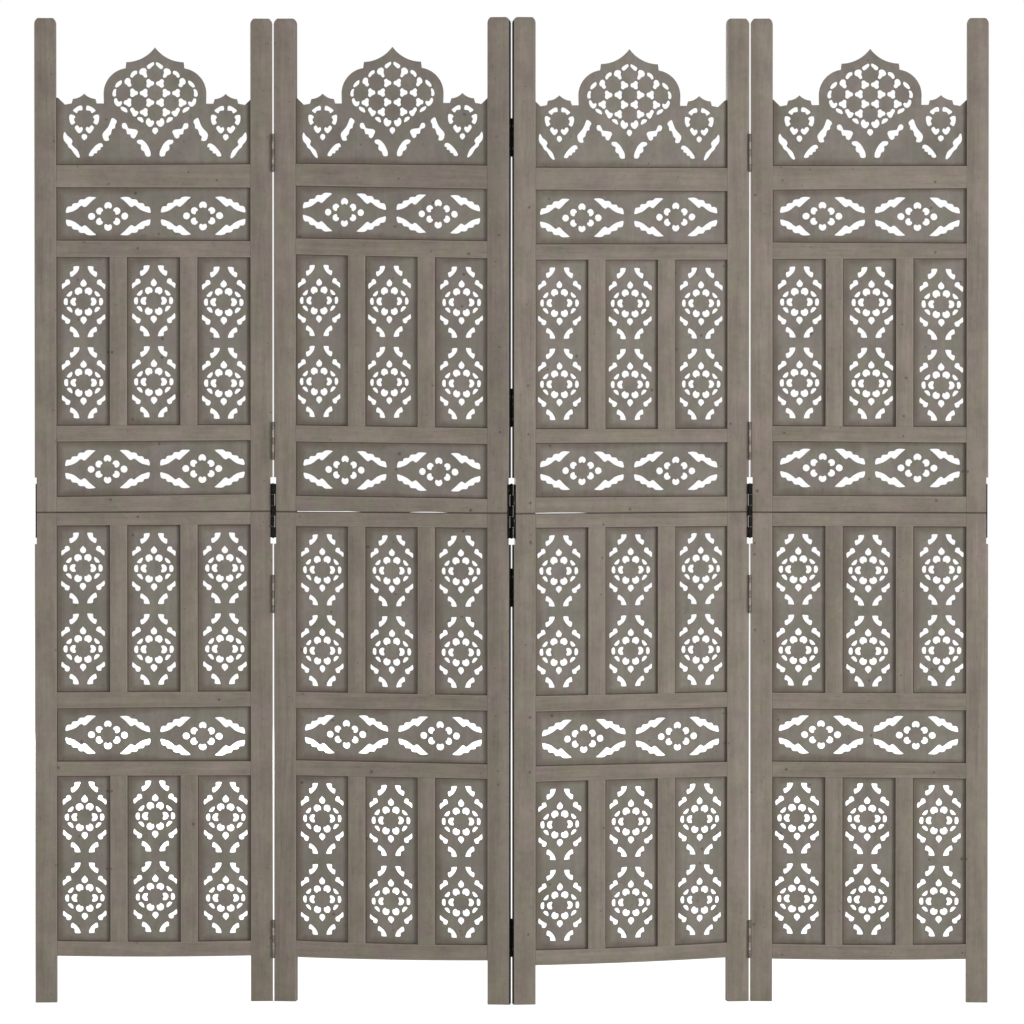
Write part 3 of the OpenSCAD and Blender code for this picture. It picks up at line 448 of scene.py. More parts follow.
def board_tree():
    """Sawn boards side by side: an outline, rows of openings in it, and the saw's wander."""
    t, given = new_tree("Sawn boards", {
        "Outline": "Object", "Openings": "Object", "Columns": "Int", "Column Pitch": "Float",
        "Motifs": "Int", "Motif Step": "Vector", "Thickness": "Float", "Saw Wander": "Float",
        "Seed": "Int", "Finish": "Material",
    })

    def spread(count, step):
        """A row of points, centred on the origin."""
        back = t.vector("SCALE", step, scale=t.times(t.less(count, 1.0), -0.5))
        line = {"Count": count, "Start Location": back, "Offset": step}
        return t.made("GeometryNodeMeshLine", line, mode="OFFSET")

    columns = spread(given["Columns"], t.xyz(given["Column Pitch"]))
    motifs = on_points(t, spread(given["Motifs"], given["Motif Step"]), shape_of(t, given["Openings"]))
    openings = real(t, on_points(t, columns, motifs))
    outlines = real(t, on_points(t, columns, shape_of(t, given["Outline"])))

    place = t.made("GeometryNodeInputPosition")
    phase = t.times(given["Seed"], 3.7)

    def wander(scale, amount):
        """The saw's sideways drift, in waves of that scale."""
        field = t.node("ShaderNodeTexNoise", {"Vector": place, "W": phase, "Scale": scale, "Detail": 1.0},
                       noise_dimensions="4D")
        centred = t.vector("SUBTRACT", field.outputs["Color"], (0.5, 0.5, 0.5))
        flat = t.vector("MULTIPLY", centred, (1.0, 1.0, 0.0))
        return t.vector("SCALE", flat, scale=t.times(given["Saw Wander"], amount))

    drift = t.vector("ADD", wander(38.0, 3.4), wander(170.0, 1.8))
    moved = t.made("GeometryNodeSetPosition", {"Geometry": openings, "Offset": drift})

    face = t.made("GeometryNodeFillCurve", {0: t.made("GeometryNodeJoinGeometry", {0: [moved, outlines]})})
    raised = t.made("GeometryNodeExtrudeMesh", {
        "Mesh": face, "Offset": t.xyz(z=given["Thickness"]), "Individual": False})
    back = t.made("GeometryNodeFlipFaces", {0: face})
    both = t.made("GeometryNodeJoinGeometry", {0: [raised, back]})
    closed = t.made("GeometryNodeMergeByDistance", {"Geometry": both, "Distance": WELD})
    sink = t.xyz(z=t.times(given["Thickness"], -0.5))
    centred = t.made("GeometryNodeTransform", {"Geometry": closed, "Translation": sink})
    return end_tree(t, centred, given["Finish"])


def screw_tree():
    """A slotted screw on every point, its head facing along the point's own "out" direction and its
    slot turned at random."""
    t, given = new_tree("Slotted screws", {
        "Places": "Object", **{size: "Float" for size in SCREW}, "Seed": "Int", "Finish": "Material",
    })
    head_r, shank_r, length = given["Head Radius"], given["Shank Radius"], given["Length"]

    def rod(low_r, top_r, height, z):
        """A rod of that height between two radii, standing on the height z."""
        cone = t.made("GeometryNodeMeshCone", {
            "Vertices": 24, "Radius Bottom": low_r, "Radius Top": top_r, "Depth": height})
        return t.made("GeometryNodeTransform", {"Geometry": cone, "Translation": t.xyz(z=z)})

    def solid(op, first, others):
        return t.made("GeometryNodeMeshBoolean", {0: first, 1: others}, operation=op, solver="MANIFOLD")

    head_h = t.less(head_r, shank_r)
    overlap = t.times(head_h, 0.3)
    head = rod(shank_r, head_r, head_h, t.times(head_h, -1.0))
    shank_h = t.plus(t.less(length, head_h), overlap)
    shank = rod(given["Point Radius"], shank_r, shank_h, t.times(length, -1.0))
    slot_size = t.xyz(t.times(head_r, 2.4), given["Slot Width"], t.times(given["Slot Depth"], 2.0))
    slot = t.made("GeometryNodeMeshCube", {"Size": slot_size})
    screw = solid("DIFFERENCE", solid("UNION", None, [head, shank]), [slot])

    out = t.made("GeometryNodeInputNamedAttribute", {"Name": "out"}, data_type="FLOAT_VECTOR")
    facing = t.made("FunctionNodeAlignRotationToVector", {"Vector": out}, axis="Z")
    chance = t.node("FunctionNodeRandomValue", {3: math.tau, "Seed": given["Seed"]}, data_type="FLOAT")
    spin = t.made("FunctionNodeAxisAngleToRotation", {"Axis": (0, 0, 1), "Angle": chance.outputs[1]})
    turn = t.made("FunctionNodeRotateRotation", {0: facing, 1: spin}, rotation_space="LOCAL")
    points = t.made("GeometryNodeMeshToPoints", {"Mesh": shape_of(t, given["Places"])})
    return end_tree(t, on_points(t, points, screw, turn), given["Finish"])


def grown(tree, values):
    """The plain mesh that a tree makes from the given inputs."""
    sockets = {s.name: s.identifier for s in tree.interface.items_tree if s.in_out == "INPUT"}
    host = put_in("host", bpy.data.meshes.new("host"))
    modifier = host.modifiers.new("made", "NODES")
    modifier.node_group = tree
    for name, value in values.items():
        modifier[sockets[name]] = value
    host.update_tag()
    mesh = bpy.data.meshes.new_from_object(host.evaluated_get(bpy.context.evaluated_depsgraph_get()))
    host.modifiers.clear()
    bpy.data.objects.remove(host)
    return mesh


# Meshes that carry their own grain

# Lower and upper edges of the rails, from the lowest up, and how far up each lies off that height in
# each panel, at its left and right ends
RAIL_EDGES = [75, 100, 378, 404, 494, 520, 798, 825, 826, 850, 940, 966, 1249, 1275, 1365, 1402]
RAIL_DRIFT = {
    1: [(3.3, 2.0), (3.3, 2.0), (2.5, 2.2), (0.5, 0.0), (-0.2, 2.2), (0.8, 1.2), (2.5, 4.0), (-2.5, -1.2),
        (-2.5, -1.2), (-1.5, 2.5), (1.2, 3.2), (1.8, 2.8), (1.5, 1.0), (3.0, 2.2), (2.0, 2.0), (2.0, 4.0)],
    2: [(-0.2, -1.2), (2.5, -0.7), (2.5, 0.0), (1.8, -2.0), (-0.2, -1.8), (0.8, -2.5), (1.0, 0.0),
        (-1.8, -2.6), (-1.8, -2.6), (-0.2, -3.8), (1.0, -2.0), (2.2, -1.8), (6.0, -1.2), (6.8, 1.5),
        (5.0, -1.0), (5.0, 0.6)],
    3: [(-9.2, -0.8), (-9.2, -0.8), (-5.0, 0.6), (-5.2, -1.2), (-3.5, 1.2), (-3.5, 0.3), (-0.2, 1.5),
        (-3.5, -2.2), (-3.5, -2.2), (-1.5, -1.2), (-0.2, -0.2), (-3.5, -3.5), (-3.5, -3.0), (-3.8, -3.2),
        (-2.5, -4.0), (-2.8, -2.5)],
    4: [(-3.4, -2.0), (-3.4, -2.0), (-0.2, -1.8), (-0.8, -2.2), (-1.5, -3.2), (-0.8, -1.0), (1.5, 1.0),
        (-2.8, -3.2), (-2.8, -3.2), (0.2, -0.8), (1.8, -0.5), (0.8, -0.5), (-1.8, -0.8), (0.0, -2.2),
        (-1.8, 0.5), (1.0, 0.8)],
}
FOOT_RAIL_SAG = 1.7
# What is taken off the sticks' outer edges, and off the rims of openings
STICK_EASE = 0.9
RIM_EASE = 0.35
# Greatest height of a rail, and how far from the split a stile drifts with it
RAIL_MAX_H = 40.0
SPLIT_ZONE = 3.0
# Where rails are cut across, so that they can bend
BEND_LINES = [12.2 * i for i in range(-13, 14)]


def edge_drift(n, edge, x):
    """How far up a rail's edge lies off its height at x, which runs from -1 to 1 across the opening."""
    left, right = RAIL_DRIFT[n][edge]
    sag = FOOT_RAIL_SAG * (1 - x * x) if edge < 2 else 0.0
    return (left + right + (right - left) * x) / 2 - sag


def rail_drift(n, point):
    """As above at any point of panel n, changing evenly from one edge to the next."""
    x, z = point.x / (INNER_W / 2 * MM), point.z / MM
    edge = max(1, min(bisect(RAIL_EDGES, z), len(RAIL_EDGES) - 1))
    low, high = RAIL_EDGES[edge - 1], RAIL_EDGES[edge]
    share = max(0.0, min(1.0, (z - low) / (high - low)))
    return ((1 - share) * edge_drift(n, edge - 1, x) + share * edge_drift(n, edge, x)) * MM


def in_rail(z):
    """Whether a height lies in a rail, or within 1 mm of one."""
    return any(low - 1 < z / MM < high + 1 for low, high in zip(RAIL_EDGES[::2], RAIL_EDGES[1::2]))


class Shell:
    """One piece of the scene, gathered from several solids. Each point knows its place in its stick
    or board, with the grain first, that stick's half sizes and tone, and its own drawn height."""

    def __init__(self):
        self.points, self.faces = [], []
        self.known = {"place": [], "half": [], "tone": [], "height": []}

    def add(self, verts, n, stand, middle, half, order, tone, stile=False):
        """Takes in one solid, which stand puts into panel n. What lies in a rail drifts with it, and of
        a stile only its end at the split. Elsewhere only the pattern drifts."""
        start = {v.index: len(self.points) + i for i, v in enumerate(verts)}
        down = stand.to_3x3().inverted() @ Vector((0, 0, -1))
        for v in verts:
            point, local = stand @ v.co, v.co - middle
            self.known["height"].append(point.z)
            still = stile and abs(point.z / MM - MEETING_Z) > SPLIT_ZONE
            drift = 0.0 if still else rail_drift(n, point)
            if in_rail(point.z):
                point.z += drift
            else:
                local += drift * down
            self.points.append(PLACES[n] @ point)
            self.known["place"].extend(local[axis] for axis in order)
            self.known["half"].extend(half[axis] for axis in order)
            self.known["tone"].append(tone)
        faces = {f for v in verts for f in v.link_faces}
        self.faces.extend(sorted([start[v.index] for v in f.verts] for f in faces))

    def mesh(self):
        mesh = bpy.data.meshes.new("shell")
        mesh.from_pydata(self.points, [], self.faces)
        for key, values in self.known.items():
            single = len(values) == len(self.points)
            layer = mesh.attributes.new(key, "FLOAT" if single else "FLOAT_VECTOR", "POINT")
            layer.data.foreach_set("value" if single else "vector", values)
        return mesh


def show(mesh, n, name, material, parts):
    """Makes the mesh a piece of panel n, in place of those parts of the CAD's panel."""
    mesh.materials.clear()
    mesh.materials.append(material)
    mesh.polygons.foreach_set("material_index", [0] * len(mesh.polygons))
    mesh.shade_smooth()
    mesh.set_sharp_from_angle(angle=math.radians(32))
    made = put_in(f"panel_{n}_{name}", mesh)
    mesh.name = made.name
    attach(made, f"panel_{n}")
    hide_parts(*[f"panel_{n}_{part}" for part in parts])


def islands(bm):
    """The separate solids in a mesh, each as a list of its points."""
    bm.verts.index_update()
    bm.faces.index_update()
    seen, found = set(), []
    for first in bm.verts:
        if first in seen:
            continue
        seen.add(first)
        group, open_ends = [first], [first]
        while open_ends:
            v = open_ends.pop()
            for edge in v.link_edges:
                other = edge.other_vert(v)
                if other not in seen:
                    seen.add(other)
                    group.append(other)
                    open_ends.append(other)
        found.append(group)
    return found


def edges_of(group):
    """All edges of a solid, always in the same order."""
    return list(dict.fromkeys(e for v in group for e in v.link_edges))


def box_of(group):
    spans = [[v.co[i] for v in group] for i in range(3)]
    return Vector([min(span) for span in spans]), Vector([max(span) for span in spans])


def on_box(v, low, high):
    """Which sides of its stick's box a point lies on, to within 0.03 mm."""
    return {(i, s) for i in range(3) for s, c in ((0, low[i]), (1, high[i])) if abs(v.co[i] - c) < 3e-5}


def at_home(n, part):
    """A copy of a part of panel n at the panel's own middle, with its points joined up."""
    bm = bmesh.new()
    bm.from_mesh(frame["nodes"][f"panel_{n}_{part}"].data)
    bmesh.ops.transform(bm, matrix=PLACES[n].inverted(), verts=bm.verts)
    bmesh.ops.remove_doubles(bm, verts=bm.verts, dist=WELD)
    return bm


def ease(bm, edges, by, segments):
    bmesh.ops.bevel(bm, geom=edges, offset=by * MM, offset_type="OFFSET", segments=segments, profile=0.5,
                    affect="EDGES", clamp_overlap=False)


# Stretches of the split that warped open
WARPED = {2: [(-175, -58), (31, 91)], 3: [(-175, -79)]}


def meeting_wander(n, x):
    """How far the upper frame's lowest edge leaves its line at x: tight mostly, open where it warped."""
    gap = -0.55 + 0.14 * math.sin(x / 23 + 2.1 * n) + 0.1 * math.sin(x / 9.5 + n)
    for start, end in WARPED.get(n, []):
        inside = min(x - start, end - x)
        gap += 1.35 * max(0.0, min(1.0, inside / 14 + 0.3))
    return gap * MM


def outer_edges(bm):
    """The long outer edges of sticks, and the cut corners on the stile tops."""
    found = []
    for group in islands(bm):
        low, high = box_of(group)
        sides = {v.index: on_box(v, low, high) for v in group}
        for edge in edges_of(group):
            if len(edge.link_faces) != 2 or edge.calc_face_angle(0.0) < math.radians(20):
                continue
            a, b = edge.verts
            shared = sides[a.index] & sides[b.index]
            on_face = any(axis == 1 for axis, _ in shared)
            cut_corner = on_face and min(a.co.z, b.co.z) > (TOP_Z - HORN_CUT_H - 0.1) * MM
            if (len(shared) >= 2 or cut_corner) and edge.calc_length() > 0.8 * MM:
                found.append(edge)
    return found


def add_sticks(shell, part, n, order, rng):
    """The sticks of one part of panel n with their outer edges taken off, as sandpaper leaves them."""
    bm = at_home(n, part)
    bmesh.ops.dissolve_limit(bm, angle_limit=math.radians(0.5), verts=bm.verts, edges=bm.edges)
    ease(bm, outer_edges(bm), STICK_EASE, 2)
    for v in bm.verts:
        side = 1 if v.co.x > 0 else -1
        if abs(v.co.x) > (PANEL_W / 2 - STICK_EASE - 0.2) * MM:
            v.co.x += side * SEAM_FULLNESS.get(n + (side - 1) // 2, 0.0) * MM
    for group in islands(bm):
        low, high = box_of(group)
        at_split = abs(low.z - (MEETING_Z + SPLIT_GAP / 2) * MM) < 0.2 * MM
        at_foot = low.z < (RAIL_EDGES[0] + 1) * MM
        if (at_split or at_foot) and high.z - low.z < RAIL_MAX_H * MM:
            geom = group + edges_of(group) + list({f for v in group for f in v.link_faces})
            for x in BEND_LINES:
                geom = bmesh.ops.bisect_plane(bm, geom=geom, dist=WELD, plane_co=(x * MM, 0, 0),
                                              plane_no=(1, 0, 0))["geom"]
            for v in geom:
                if at_split and isinstance(v, bmesh.types.BMVert) and v.co.z < low.z + SPLIT_ZONE * MM:
                    v.co.z += meeting_wander(n, v.co.x / MM)
    for group in islands(bm):
        low, high = box_of(group)
        middle, half = (low + high) / 2, (high - low) / 2
        if order[0] == 0:
            half.x = INNER_W / 2 * MM
        # Cuts leave the points in another order in each run
        group.sort(key=lambda v: v.co[:])
        shell.add(group, n, Matrix(), middle, half, order, rng.random(), part.endswith("stile"))
    bm.free()


def push(group, low, high, across, up, turn, free_top):
    """Moves the sawing of a board, but not the edges that sit in the grooves."""
    held = 1.2 * MM
    top = math.inf if free_top else high.y - held
    for v in group:
        x, y = v.co.x, v.co.y
        if low.x + held < x < high.x - held:
            v.co.x += across * MM
        if low.y + held < y < top:
            v.co.y += up * MM + math.radians(turn) * (x - (low.x + high.x) / 2)


def add_boards(shell, mesh, n, lift, half_of, rng, places, free_top=False):
    """Sawn boards with the rims of their openings eased, stood up in panel n at a height."""
    bm = bmesh.new()
    bm.from_mesh(mesh)
    rims = [
        e for e in bm.edges
        if abs(e.verts[0].co.z - e.verts[1].co.z) < 1e-5 and e.calc_face_angle(0.0) > math.radians(60)
    ]
    ease(bm, rims, RIM_EASE, 1)
    up = Matrix.Translation((0, 0, lift * MM)) @ Matrix.Rotation(math.radians(90), 4, "X")
    groups = sorted(((box_of(group), group) for group in islands(bm)), key=lambda item: item[0][0].x)
    for ((low, high), group), place in zip(groups, places):
        push(group, low, high, *place, free_top)
        middle, half = half_of((low + high) / 2, (high - low) / 2)
        shell.add(group, n, up, middle, half, (1, 0, 2), rng.random())
    bm.free()


# Materials

def rgb(r, g, b):
    return (r, g, b, 1.0)


class Finish(Nodes):
    """A material under construction."""

    def __init__(self, name):
        self.material = bpy.data.materials.new(name)
        self.material.use_nodes = True
        super().__init__(self.material.node_tree)
        self.tree.nodes.clear()

    def split(self, vector):
        return self.node("ShaderNodeSeparateXYZ", {0: vector}).outputs

    def attribute(self, name):
        return self.node("ShaderNodeAttribute", attribute_name=name).outputs

    def spot(self):
        return self.node("ShaderNodeTexCoord").outputs["Object"]

    def noise(self, vector, scale, detail=2.0, rough=0.5, distortion=0.0):
        return self.made("ShaderNodeTexNoise", {
            "Vector": vector, "Scale": scale, "Detail": detail, "Roughness": rough, "Distortion": distortion})

    def mix(self, share, a, b, blend="MIX"):
        return self.node("ShaderNodeMix", {0: share, 6: a, 7: b}, data_type="RGBA",
                         blend_type=blend).outputs[2]

    def close(self, colour, roughness, height, depth, strength, **sockets):
        """Ends the material in its shader, with a bump of that height and depth."""
        bump = self.made("ShaderNodeBump", {"Height": height, "Strength": strength, "Distance": depth})
        named = {key.replace("_", " "): value for key, value in sockets.items()}
        shader = self.made("ShaderNodeBsdfPrincipled", {
            "Base Color": colour, "Roughness": roughness, "Normal": bump, **named})
        self.node("ShaderNodeOutputMaterial", {0: shader})
        return self.material


KNOT = rgb(0.058, 0.043, 0.034)
# Painted contact shade, with some stain, where a board meets its frame
RIM_SHADE_AND_STAIN = rgb(0.05, 0.036, 0.028)
SPLIT_DARK = rgb(0.045, 0.034, 0.027)
# Painted shade for the stile edges in the middle seam's deep gap
PAINTED_SEAM_SHADE = rgb(0.013, 0.010, 0.008)
GRIME = rgb(0.02, 0.018, 0.016)
# Grids of knots: cells to a metre, greatest size, rarity and darkness
KNOT_GRIDS = [(21.0, 0.056, 0.38, 0.75), (50.0, 0.060, 0.52, 0.6)]


def washed_wood(name, wash, thin, bare, figured, streaks, worn=None):
    """Wood under a thin grey wash. figured and streaks say how much the thin wash and the bare wood
    show. Sticks are worn along their edges; boards, which have no worn colour, get painted shade, with some stain,
    at their borders."""
    f = Finish(name)
    place, half = f.attribute("place")["Vector"], f.attribute("half")["Vector"]
    tone = f.attribute("tone")["Fac"]
    spot = f.spot()
    shift = f.vector("MULTIPLY", f.xyz(tone, tone, tone), (7.0, 3.0, 5.0))
    along = f.vector("ADD", place, shift)
    fibre = f.noise(f.vector("MULTIPLY", along, (26.0, 620.0, 620.0)), 1.0, 3.0, 0.6)
    figure = f.noise(f.vector("MULTIPLY", along, (4.5, 95.0, 95.0)), 1.0, 3.0, 0.55, 0.6)
    cloud = f.noise(f.vector("ADD", spot, shift), 17.0, 4.0, 0.62)
    grime = f.noise(spot, 120.0, 3.0, 0.65)
    hue = f.noise(f.vector("ADD", spot, (4.0, 1.0, 9.0)), 26.0, 2.0)

    colour = f.mix(f.band(figure, 0.34, 0.68, 0.0, figured), wash, thin)
    colour = f.mix(f.times(f.band(fibre, 0.52, 0.72), streaks), colour, bare)
    light = f.plus(f.band(cloud, 0.3, 0.7, 0.83, 1.13), f.band(tone, 0.0, 1.0, -0.04, 0.04))
    light = f.plus(light, f.band(grime, 0.3, 0.7, -0.06, 0.06))
    colour = f.mix(1.0, colour, f.xyz(light, light, light), "MULTIPLY")
    # Greener at the foot, redder at the top
    across, inward, up = f.split(spot)[:3]
    hue = f.plus(hue, f.band(up, 0.0, 1.6, 0.045, -0.035))
    tint = f.mix(f.band(hue, 0.38, 0.62), rgb(1.025, 0.972, 0.985), rgb(0.965, 1.0, 0.90))
    colour = f.mix(1.0, colour, tint, "MULTIPLY")

    # Nail dots and small knots
    flat = f.xyz(f.plus(across, inward), up)
    field = f.node("ShaderNodeTexNoise", {"Vector": spot, "Scale": 160.0}).outputs["Color"]
    bend = f.vector("MULTIPLY", f.vector("SUBTRACT", field, (0.5, 0.5, 0.5)), (0.0022, 0.0022, 0.0))
    bent = f.vector("ADD", flat, bend)
    for scale, biggest, rare, depth in KNOT_GRIDS:
        grid = {"Vector": bent, "Scale": scale}
        cells = f.node("ShaderNodeTexVoronoi", grid, voronoi_dimensions="2D").outputs
        size = f.band(f.split(cells["Color"])[0], rare, 1.0, -0.02, biggest)
        dot = f.band(f.less(size, cells["Distance"]), -0.018, 0.018, 0.0, depth)
        colour = f.mix(dot, colour, KNOT)

    to_end, to_side, to_face = f.split(f.vector("SUBTRACT", half, f.vector("ABSOLUTE", place)))[:3]
    rub = f.times(f.less(cloud, 0.5), 0.004)
    rough = f.band(figure, 0.3, 0.7, 0.62, 0.8)
    if worn is None:
        border = f.math("MINIMUM", to_end, to_side)
        # Painted shade, with some stain, where the frame's edges shade the recessed board: a band half as wide at
        # the right and a ragged dark line in it. Then the openings' walls
        right = f.band(f.split(place)[1], -0.02, 0.02)
        border_shade = f.band(f.times(f.plus(border, rub), f.plus(right, 1.0)), 0.0055, 0.0145, 0.85, 0.0)
        colour = f.mix(border_shade, colour, f.mix(1.0, colour, rgb(0.72, 0.64, 0.58), "MULTIPLY"))
        # A ragged dark line at the rim: painted contact shade with some stain
        ragged = f.plus(border, f.times(f.less(fibre, 0.5), 0.001))
        colour = f.mix(f.band(ragged, 0.0006, 0.0024, 0.85, 0.0), colour, RIM_SHADE_AND_STAIN)
        wall = f.times(f.band(to_face, 0.0004, 0.0012), 0.55)
        colour = f.mix(wall, colour, rgb(0.115, 0.09, 0.07))
    else:
        arris = f.plus(f.math("MAXIMUM", to_side, to_face), rub)
        colour = f.mix(f.band(arris, 0.0004, 0.0022, 0.55, 0.0), colour, worn)
        # Dark end grain at the sticks' ends below the stile tops, and dark wood at the split
        crack = f.times(f.band(to_end, 0.0, 0.0009, 0.45, 0.0), f.band(up, 1.6, 1.61, 1.0, 0.0))
        from_split = f.math("ABSOLUTE", f.less(f.attribute("height")["Fac"], MEETING_Z * MM))
        crack = f.math("MAXIMUM", crack, f.band(from_split, 0.0009, 0.0022, 0.85, 0.0))
        colour = f.mix(crack, colour, SPLIT_DARK)
        # Painted shade: the two stile edges that meet at the middle seam lie deep in its V-shaped gap, so they are
        # coloured nearly black and made matt
        seam_shade_mask = f.times(f.band(f.math("ABSOLUTE", across), 0.0100, 0.0105, 0.97, 0.0),
                          f.band(to_side, 0.0006, 0.0012, 1.0, 0.0))
        colour = f.mix(seam_shade_mask, colour, PAINTED_SEAM_SHADE)
        rough = f.math("MAXIMUM", rough, seam_shade_mask)

    height = f.plus(f.times(fibre, 0.6), f.times(figure, 0.8))
    return f.close(colour, rough, height, 0.00035, 0.45, Specular_IOR_Level=0.35)


def worn_metal(name, paint, rubbed, rust, metallic, roughness, shine=0.5, pin_x=None):
    """Painted or blackened metal that is rubbed through in places. Knuckles at pin_x, left and right of
    the middle, get painted shade on their rounded sides, and the leaves beside them too."""
    f = Finish(name)
    spot = f.spot()
    patch = f.noise(spot, 210.0, 3.0, 0.6)
    grit = f.noise(spot, 1500.0, 2.0, 0.6)
    stain = f.noise(f.vector("ADD", spot, (3.0, 7.0, 1.0)), 90.0, 3.0, 0.6)
    colour = f.mix(f.band(patch, 0.5, 0.68), paint, rubbed)
    colour = f.mix(f.band(stain, 0.58, 0.74, 0.0, 0.7), colour, rust)
    colour = f.mix(f.band(grit, 0.45, 0.7, 0.0, 0.25), colour, GRIME)
    if pin_x is not None:
        # Painted shade: everything more than about 2 mm across from the pin's line, the knuckles' rounded sides
        # and the leaves, is darkened
        from_pin = f.math("ABSOLUTE", f.less(f.math("ABSOLUTE", f.split(spot)[0]), pin_x))
        colour = f.mix(f.band(from_pin, 0.0013, 0.0021, 0.0, 0.9), colour, rgb(0.030, 0.023, 0.018))
    rough = f.band(patch, 0.3, 0.7, roughness + 0.12, roughness - 0.08)
    height = f.plus(f.times(patch, 0.7), f.times(grit, 0.3))
    return f.close(colour, rough, height, 0.0002, 0.5, Metallic=metallic, Specular_IOR_Level=shine)


frame_wood = washed_wood(
    "washed_frame_wood", wash=rgb(0.184, 0.158, 0.134), thin=rgb(0.158, 0.133, 0.111),
    bare=rgb(0.096, 0.076, 0.060), worn=rgb(0.235, 0.206, 0.176), figured=0.7, streaks=0.42)
board_wood = washed_wood(
    "washed_board_wood", wash=rgb(0.161, 0.145, 0.128), thin=rgb(0.138, 0.123, 0.107),
    bare=rgb(0.100, 0.085, 0.072), figured=0.3, streaks=0.16)
outer_seam = next(joint for joint in frame["joints"] if joint["name"] == "seam_1_hinges")
outer_pin_x = abs(outer_seam["pos_m"][0])
grey_metal = worn_metal(
    "worn_grey_hinge", paint=rgb(0.125, 0.107, 0.090), rubbed=rgb(0.20, 0.18, 0.155),
    rust=rgb(0.060, 0.042, 0.031), metallic=0.1, roughness=0.55, shine=0.3, pin_x=outer_pin_x)
bright_metal = worn_metal(
    "rubbed_grey_hinge", paint=rgb(0.25, 0.215, 0.19), rubbed=rgb(0.36, 0.32, 0.29),
    rust=rgb(0.13, 0.10, 0.08), metallic=0.1, roughness=0.5, shine=0.3, pin_x=outer_pin_x)
# Black coating of the joining plates; on the middle seam's hinges the same finish is painted shade
black_metal = worn_metal(
    "blackened_plate", paint=rgb(0.006, 0.005, 0.004), rubbed=rgb(0.018, 0.014, 0.011),
    rust=rgb(0.014, 0.008, 0.005), metallic=0.0, roughness=0.75, shine=0.1)
dull_steel = worn_metal(
    "dulled_screw_steel", paint=rgb(0.16, 0.155, 0.145), rubbed=rgb(0.33, 0.32, 0.30),
    rust=rgb(0.09, 0.05, 0.035), metallic=0.85, roughness=0.38)


# The frames' sticks, and the order of axes that puts their grain first
STICKS = {
    "upright_sticks": (("upper_left_stile", "upper_right_stile", "lower_left_stile", "lower_right_stile",
                        "muntins"), (2, 0, 1)),
    "cross_sticks": (("upper_rails", "lower_rails"), (0, 2, 1)),
}
for n in PANELS:
    for name, (parts, order) in STICKS.items():
        rng = random.Random(100 * n + len(name))
        shell = Shell()
        for part in parts:
            add_sticks(shell, part, n, order, rng)
        show(shell.mesh(), n, name, frame_wood, parts)


# The sawn boards

sawn_boards = board_tree()
fret_curves = curves_object("fret openings", tightened(fret_motif(), 0.11))
frieze_curves = curves_object("frieze openings", tightened(frieze_motif(), 0.12))
crest_curves = curves_object("crest openings", tightened(crest_openings(), 0.06))
crest_edge = curves_object("crest outline", [crest_outline()])
frieze_edge = curves_object("frieze outline", [board_outline(INNER_W, FRIEZE_H)])
fret_edges = {
    height: curves_object(f"fret outline {height}", [board_outline(FRET_W, height)])
    for height in {opening[1] for opening in FRET_OPENINGS}
}


def boards(outline, openings, columns, motifs, step, wander, seed):
    return grown(sawn_boards, {
        "Outline": outline, "Openings": openings, "Columns": columns, "Column Pitch": COLUMN_PITCH * MM,
        "Motifs": motifs, "Motif Step": [c * MM for c in step], "Thickness": BOARD_T * MM,
        "Saw Wander": wander * MM, "Seed": seed, "Finish": board_wood,
    })


def shown_part(middle, half):
    """Half sizes of the part of a board that shows in its opening."""
    return middle, half - Vector((HELD * MM, HELD * MM, 0))


def shown_crest(middle, half):
    """As above for the crest, whose upper edge is free: its middle is put far enough up."""
    reach = 0.3
    return Vector((middle.x, reach, middle.z)), Vector((INNER_W / 2 * MM, reach, half.z))


# How far the sawing of each board lies from its drawn place: across, up, and its turn in degrees.
# Panels come in order, then rows from the lowest up, then columns from the left.
FRET_PLACES = [
    [[(1.4, 3.4, 0), (2.0, 4.8, 0.4), (2.2, 2.2, -0.3)], [(-0.8, 1.8, 0.3), (0.0, 0.8, 0), (1.2, 1.4, -0.3)],
     [(0.6, 0.2, 0), (0.2, 1.6, 0.3), (-0.4, -0.8, -0.4)]],
    [[(-1.2, 0.6, 0.3), (-2.2, -1.4, 0), (-1.2, -1.6, 0.6)], [(-0.8, -1.4, 0), (-0.6, -2.2, -0.3),
     (-1.4, -2.4, 0)], [(-6.0, 2.2, 0.3), (-4.6, 0.8, 0.6), (-0.4, -1.0, -0.3)]],
    [[(-2.2, -6.4, 0.5), (0.4, -3.0, 0), (-0.8, -0.2, 0.2)], [(-4.0, -1.8, 0), (-0.2, -0.6, -0.2),
     (1.0, 0.6, 0)], [(-3.0, -2.2, 0), (-1.4, -2.8, 0.2), (1.2, -2.4, 0)]],
    [[(-2.8, 0.8, 0), (-2.8, 0.2, 0), (-0.6, -2.2, 0.2)], [(-0.8, -0.8, 0.3), (-1.6, -2.2, 0.3),
     (3.4, -0.8, -0.4)], [(0.8, -0.4, 0.3), (3.2, -1.0, 0.3), (2.4, -4.2, -0.5)]],
]
FRIEZE_PLACES = [
    [(2.2, -1.8, -1.0), (2.0, 0.0, 0.3), (3.6, -0.8, 0.3)],
    [(1.8, 0.0, -0.3), (-0.6, -3.0, -1.0), (-1.4, 3.6, -1.1)],
    [(-0.2, -4.0, 0.9), (-3.4, -2.8, -0.3), (-3.6, -3.6, 0.6)],
    [(-1.0, -1.0, -0.2), (1.2, 1.6, 0.0), (0.6, -1.6, -0.3)],
]
CREST_PLACES = [(2.8, 1.6, 0), (0.8, 1.6, 0), (-2.8, -2.4, 0), (0.8, -0.8, 0)]

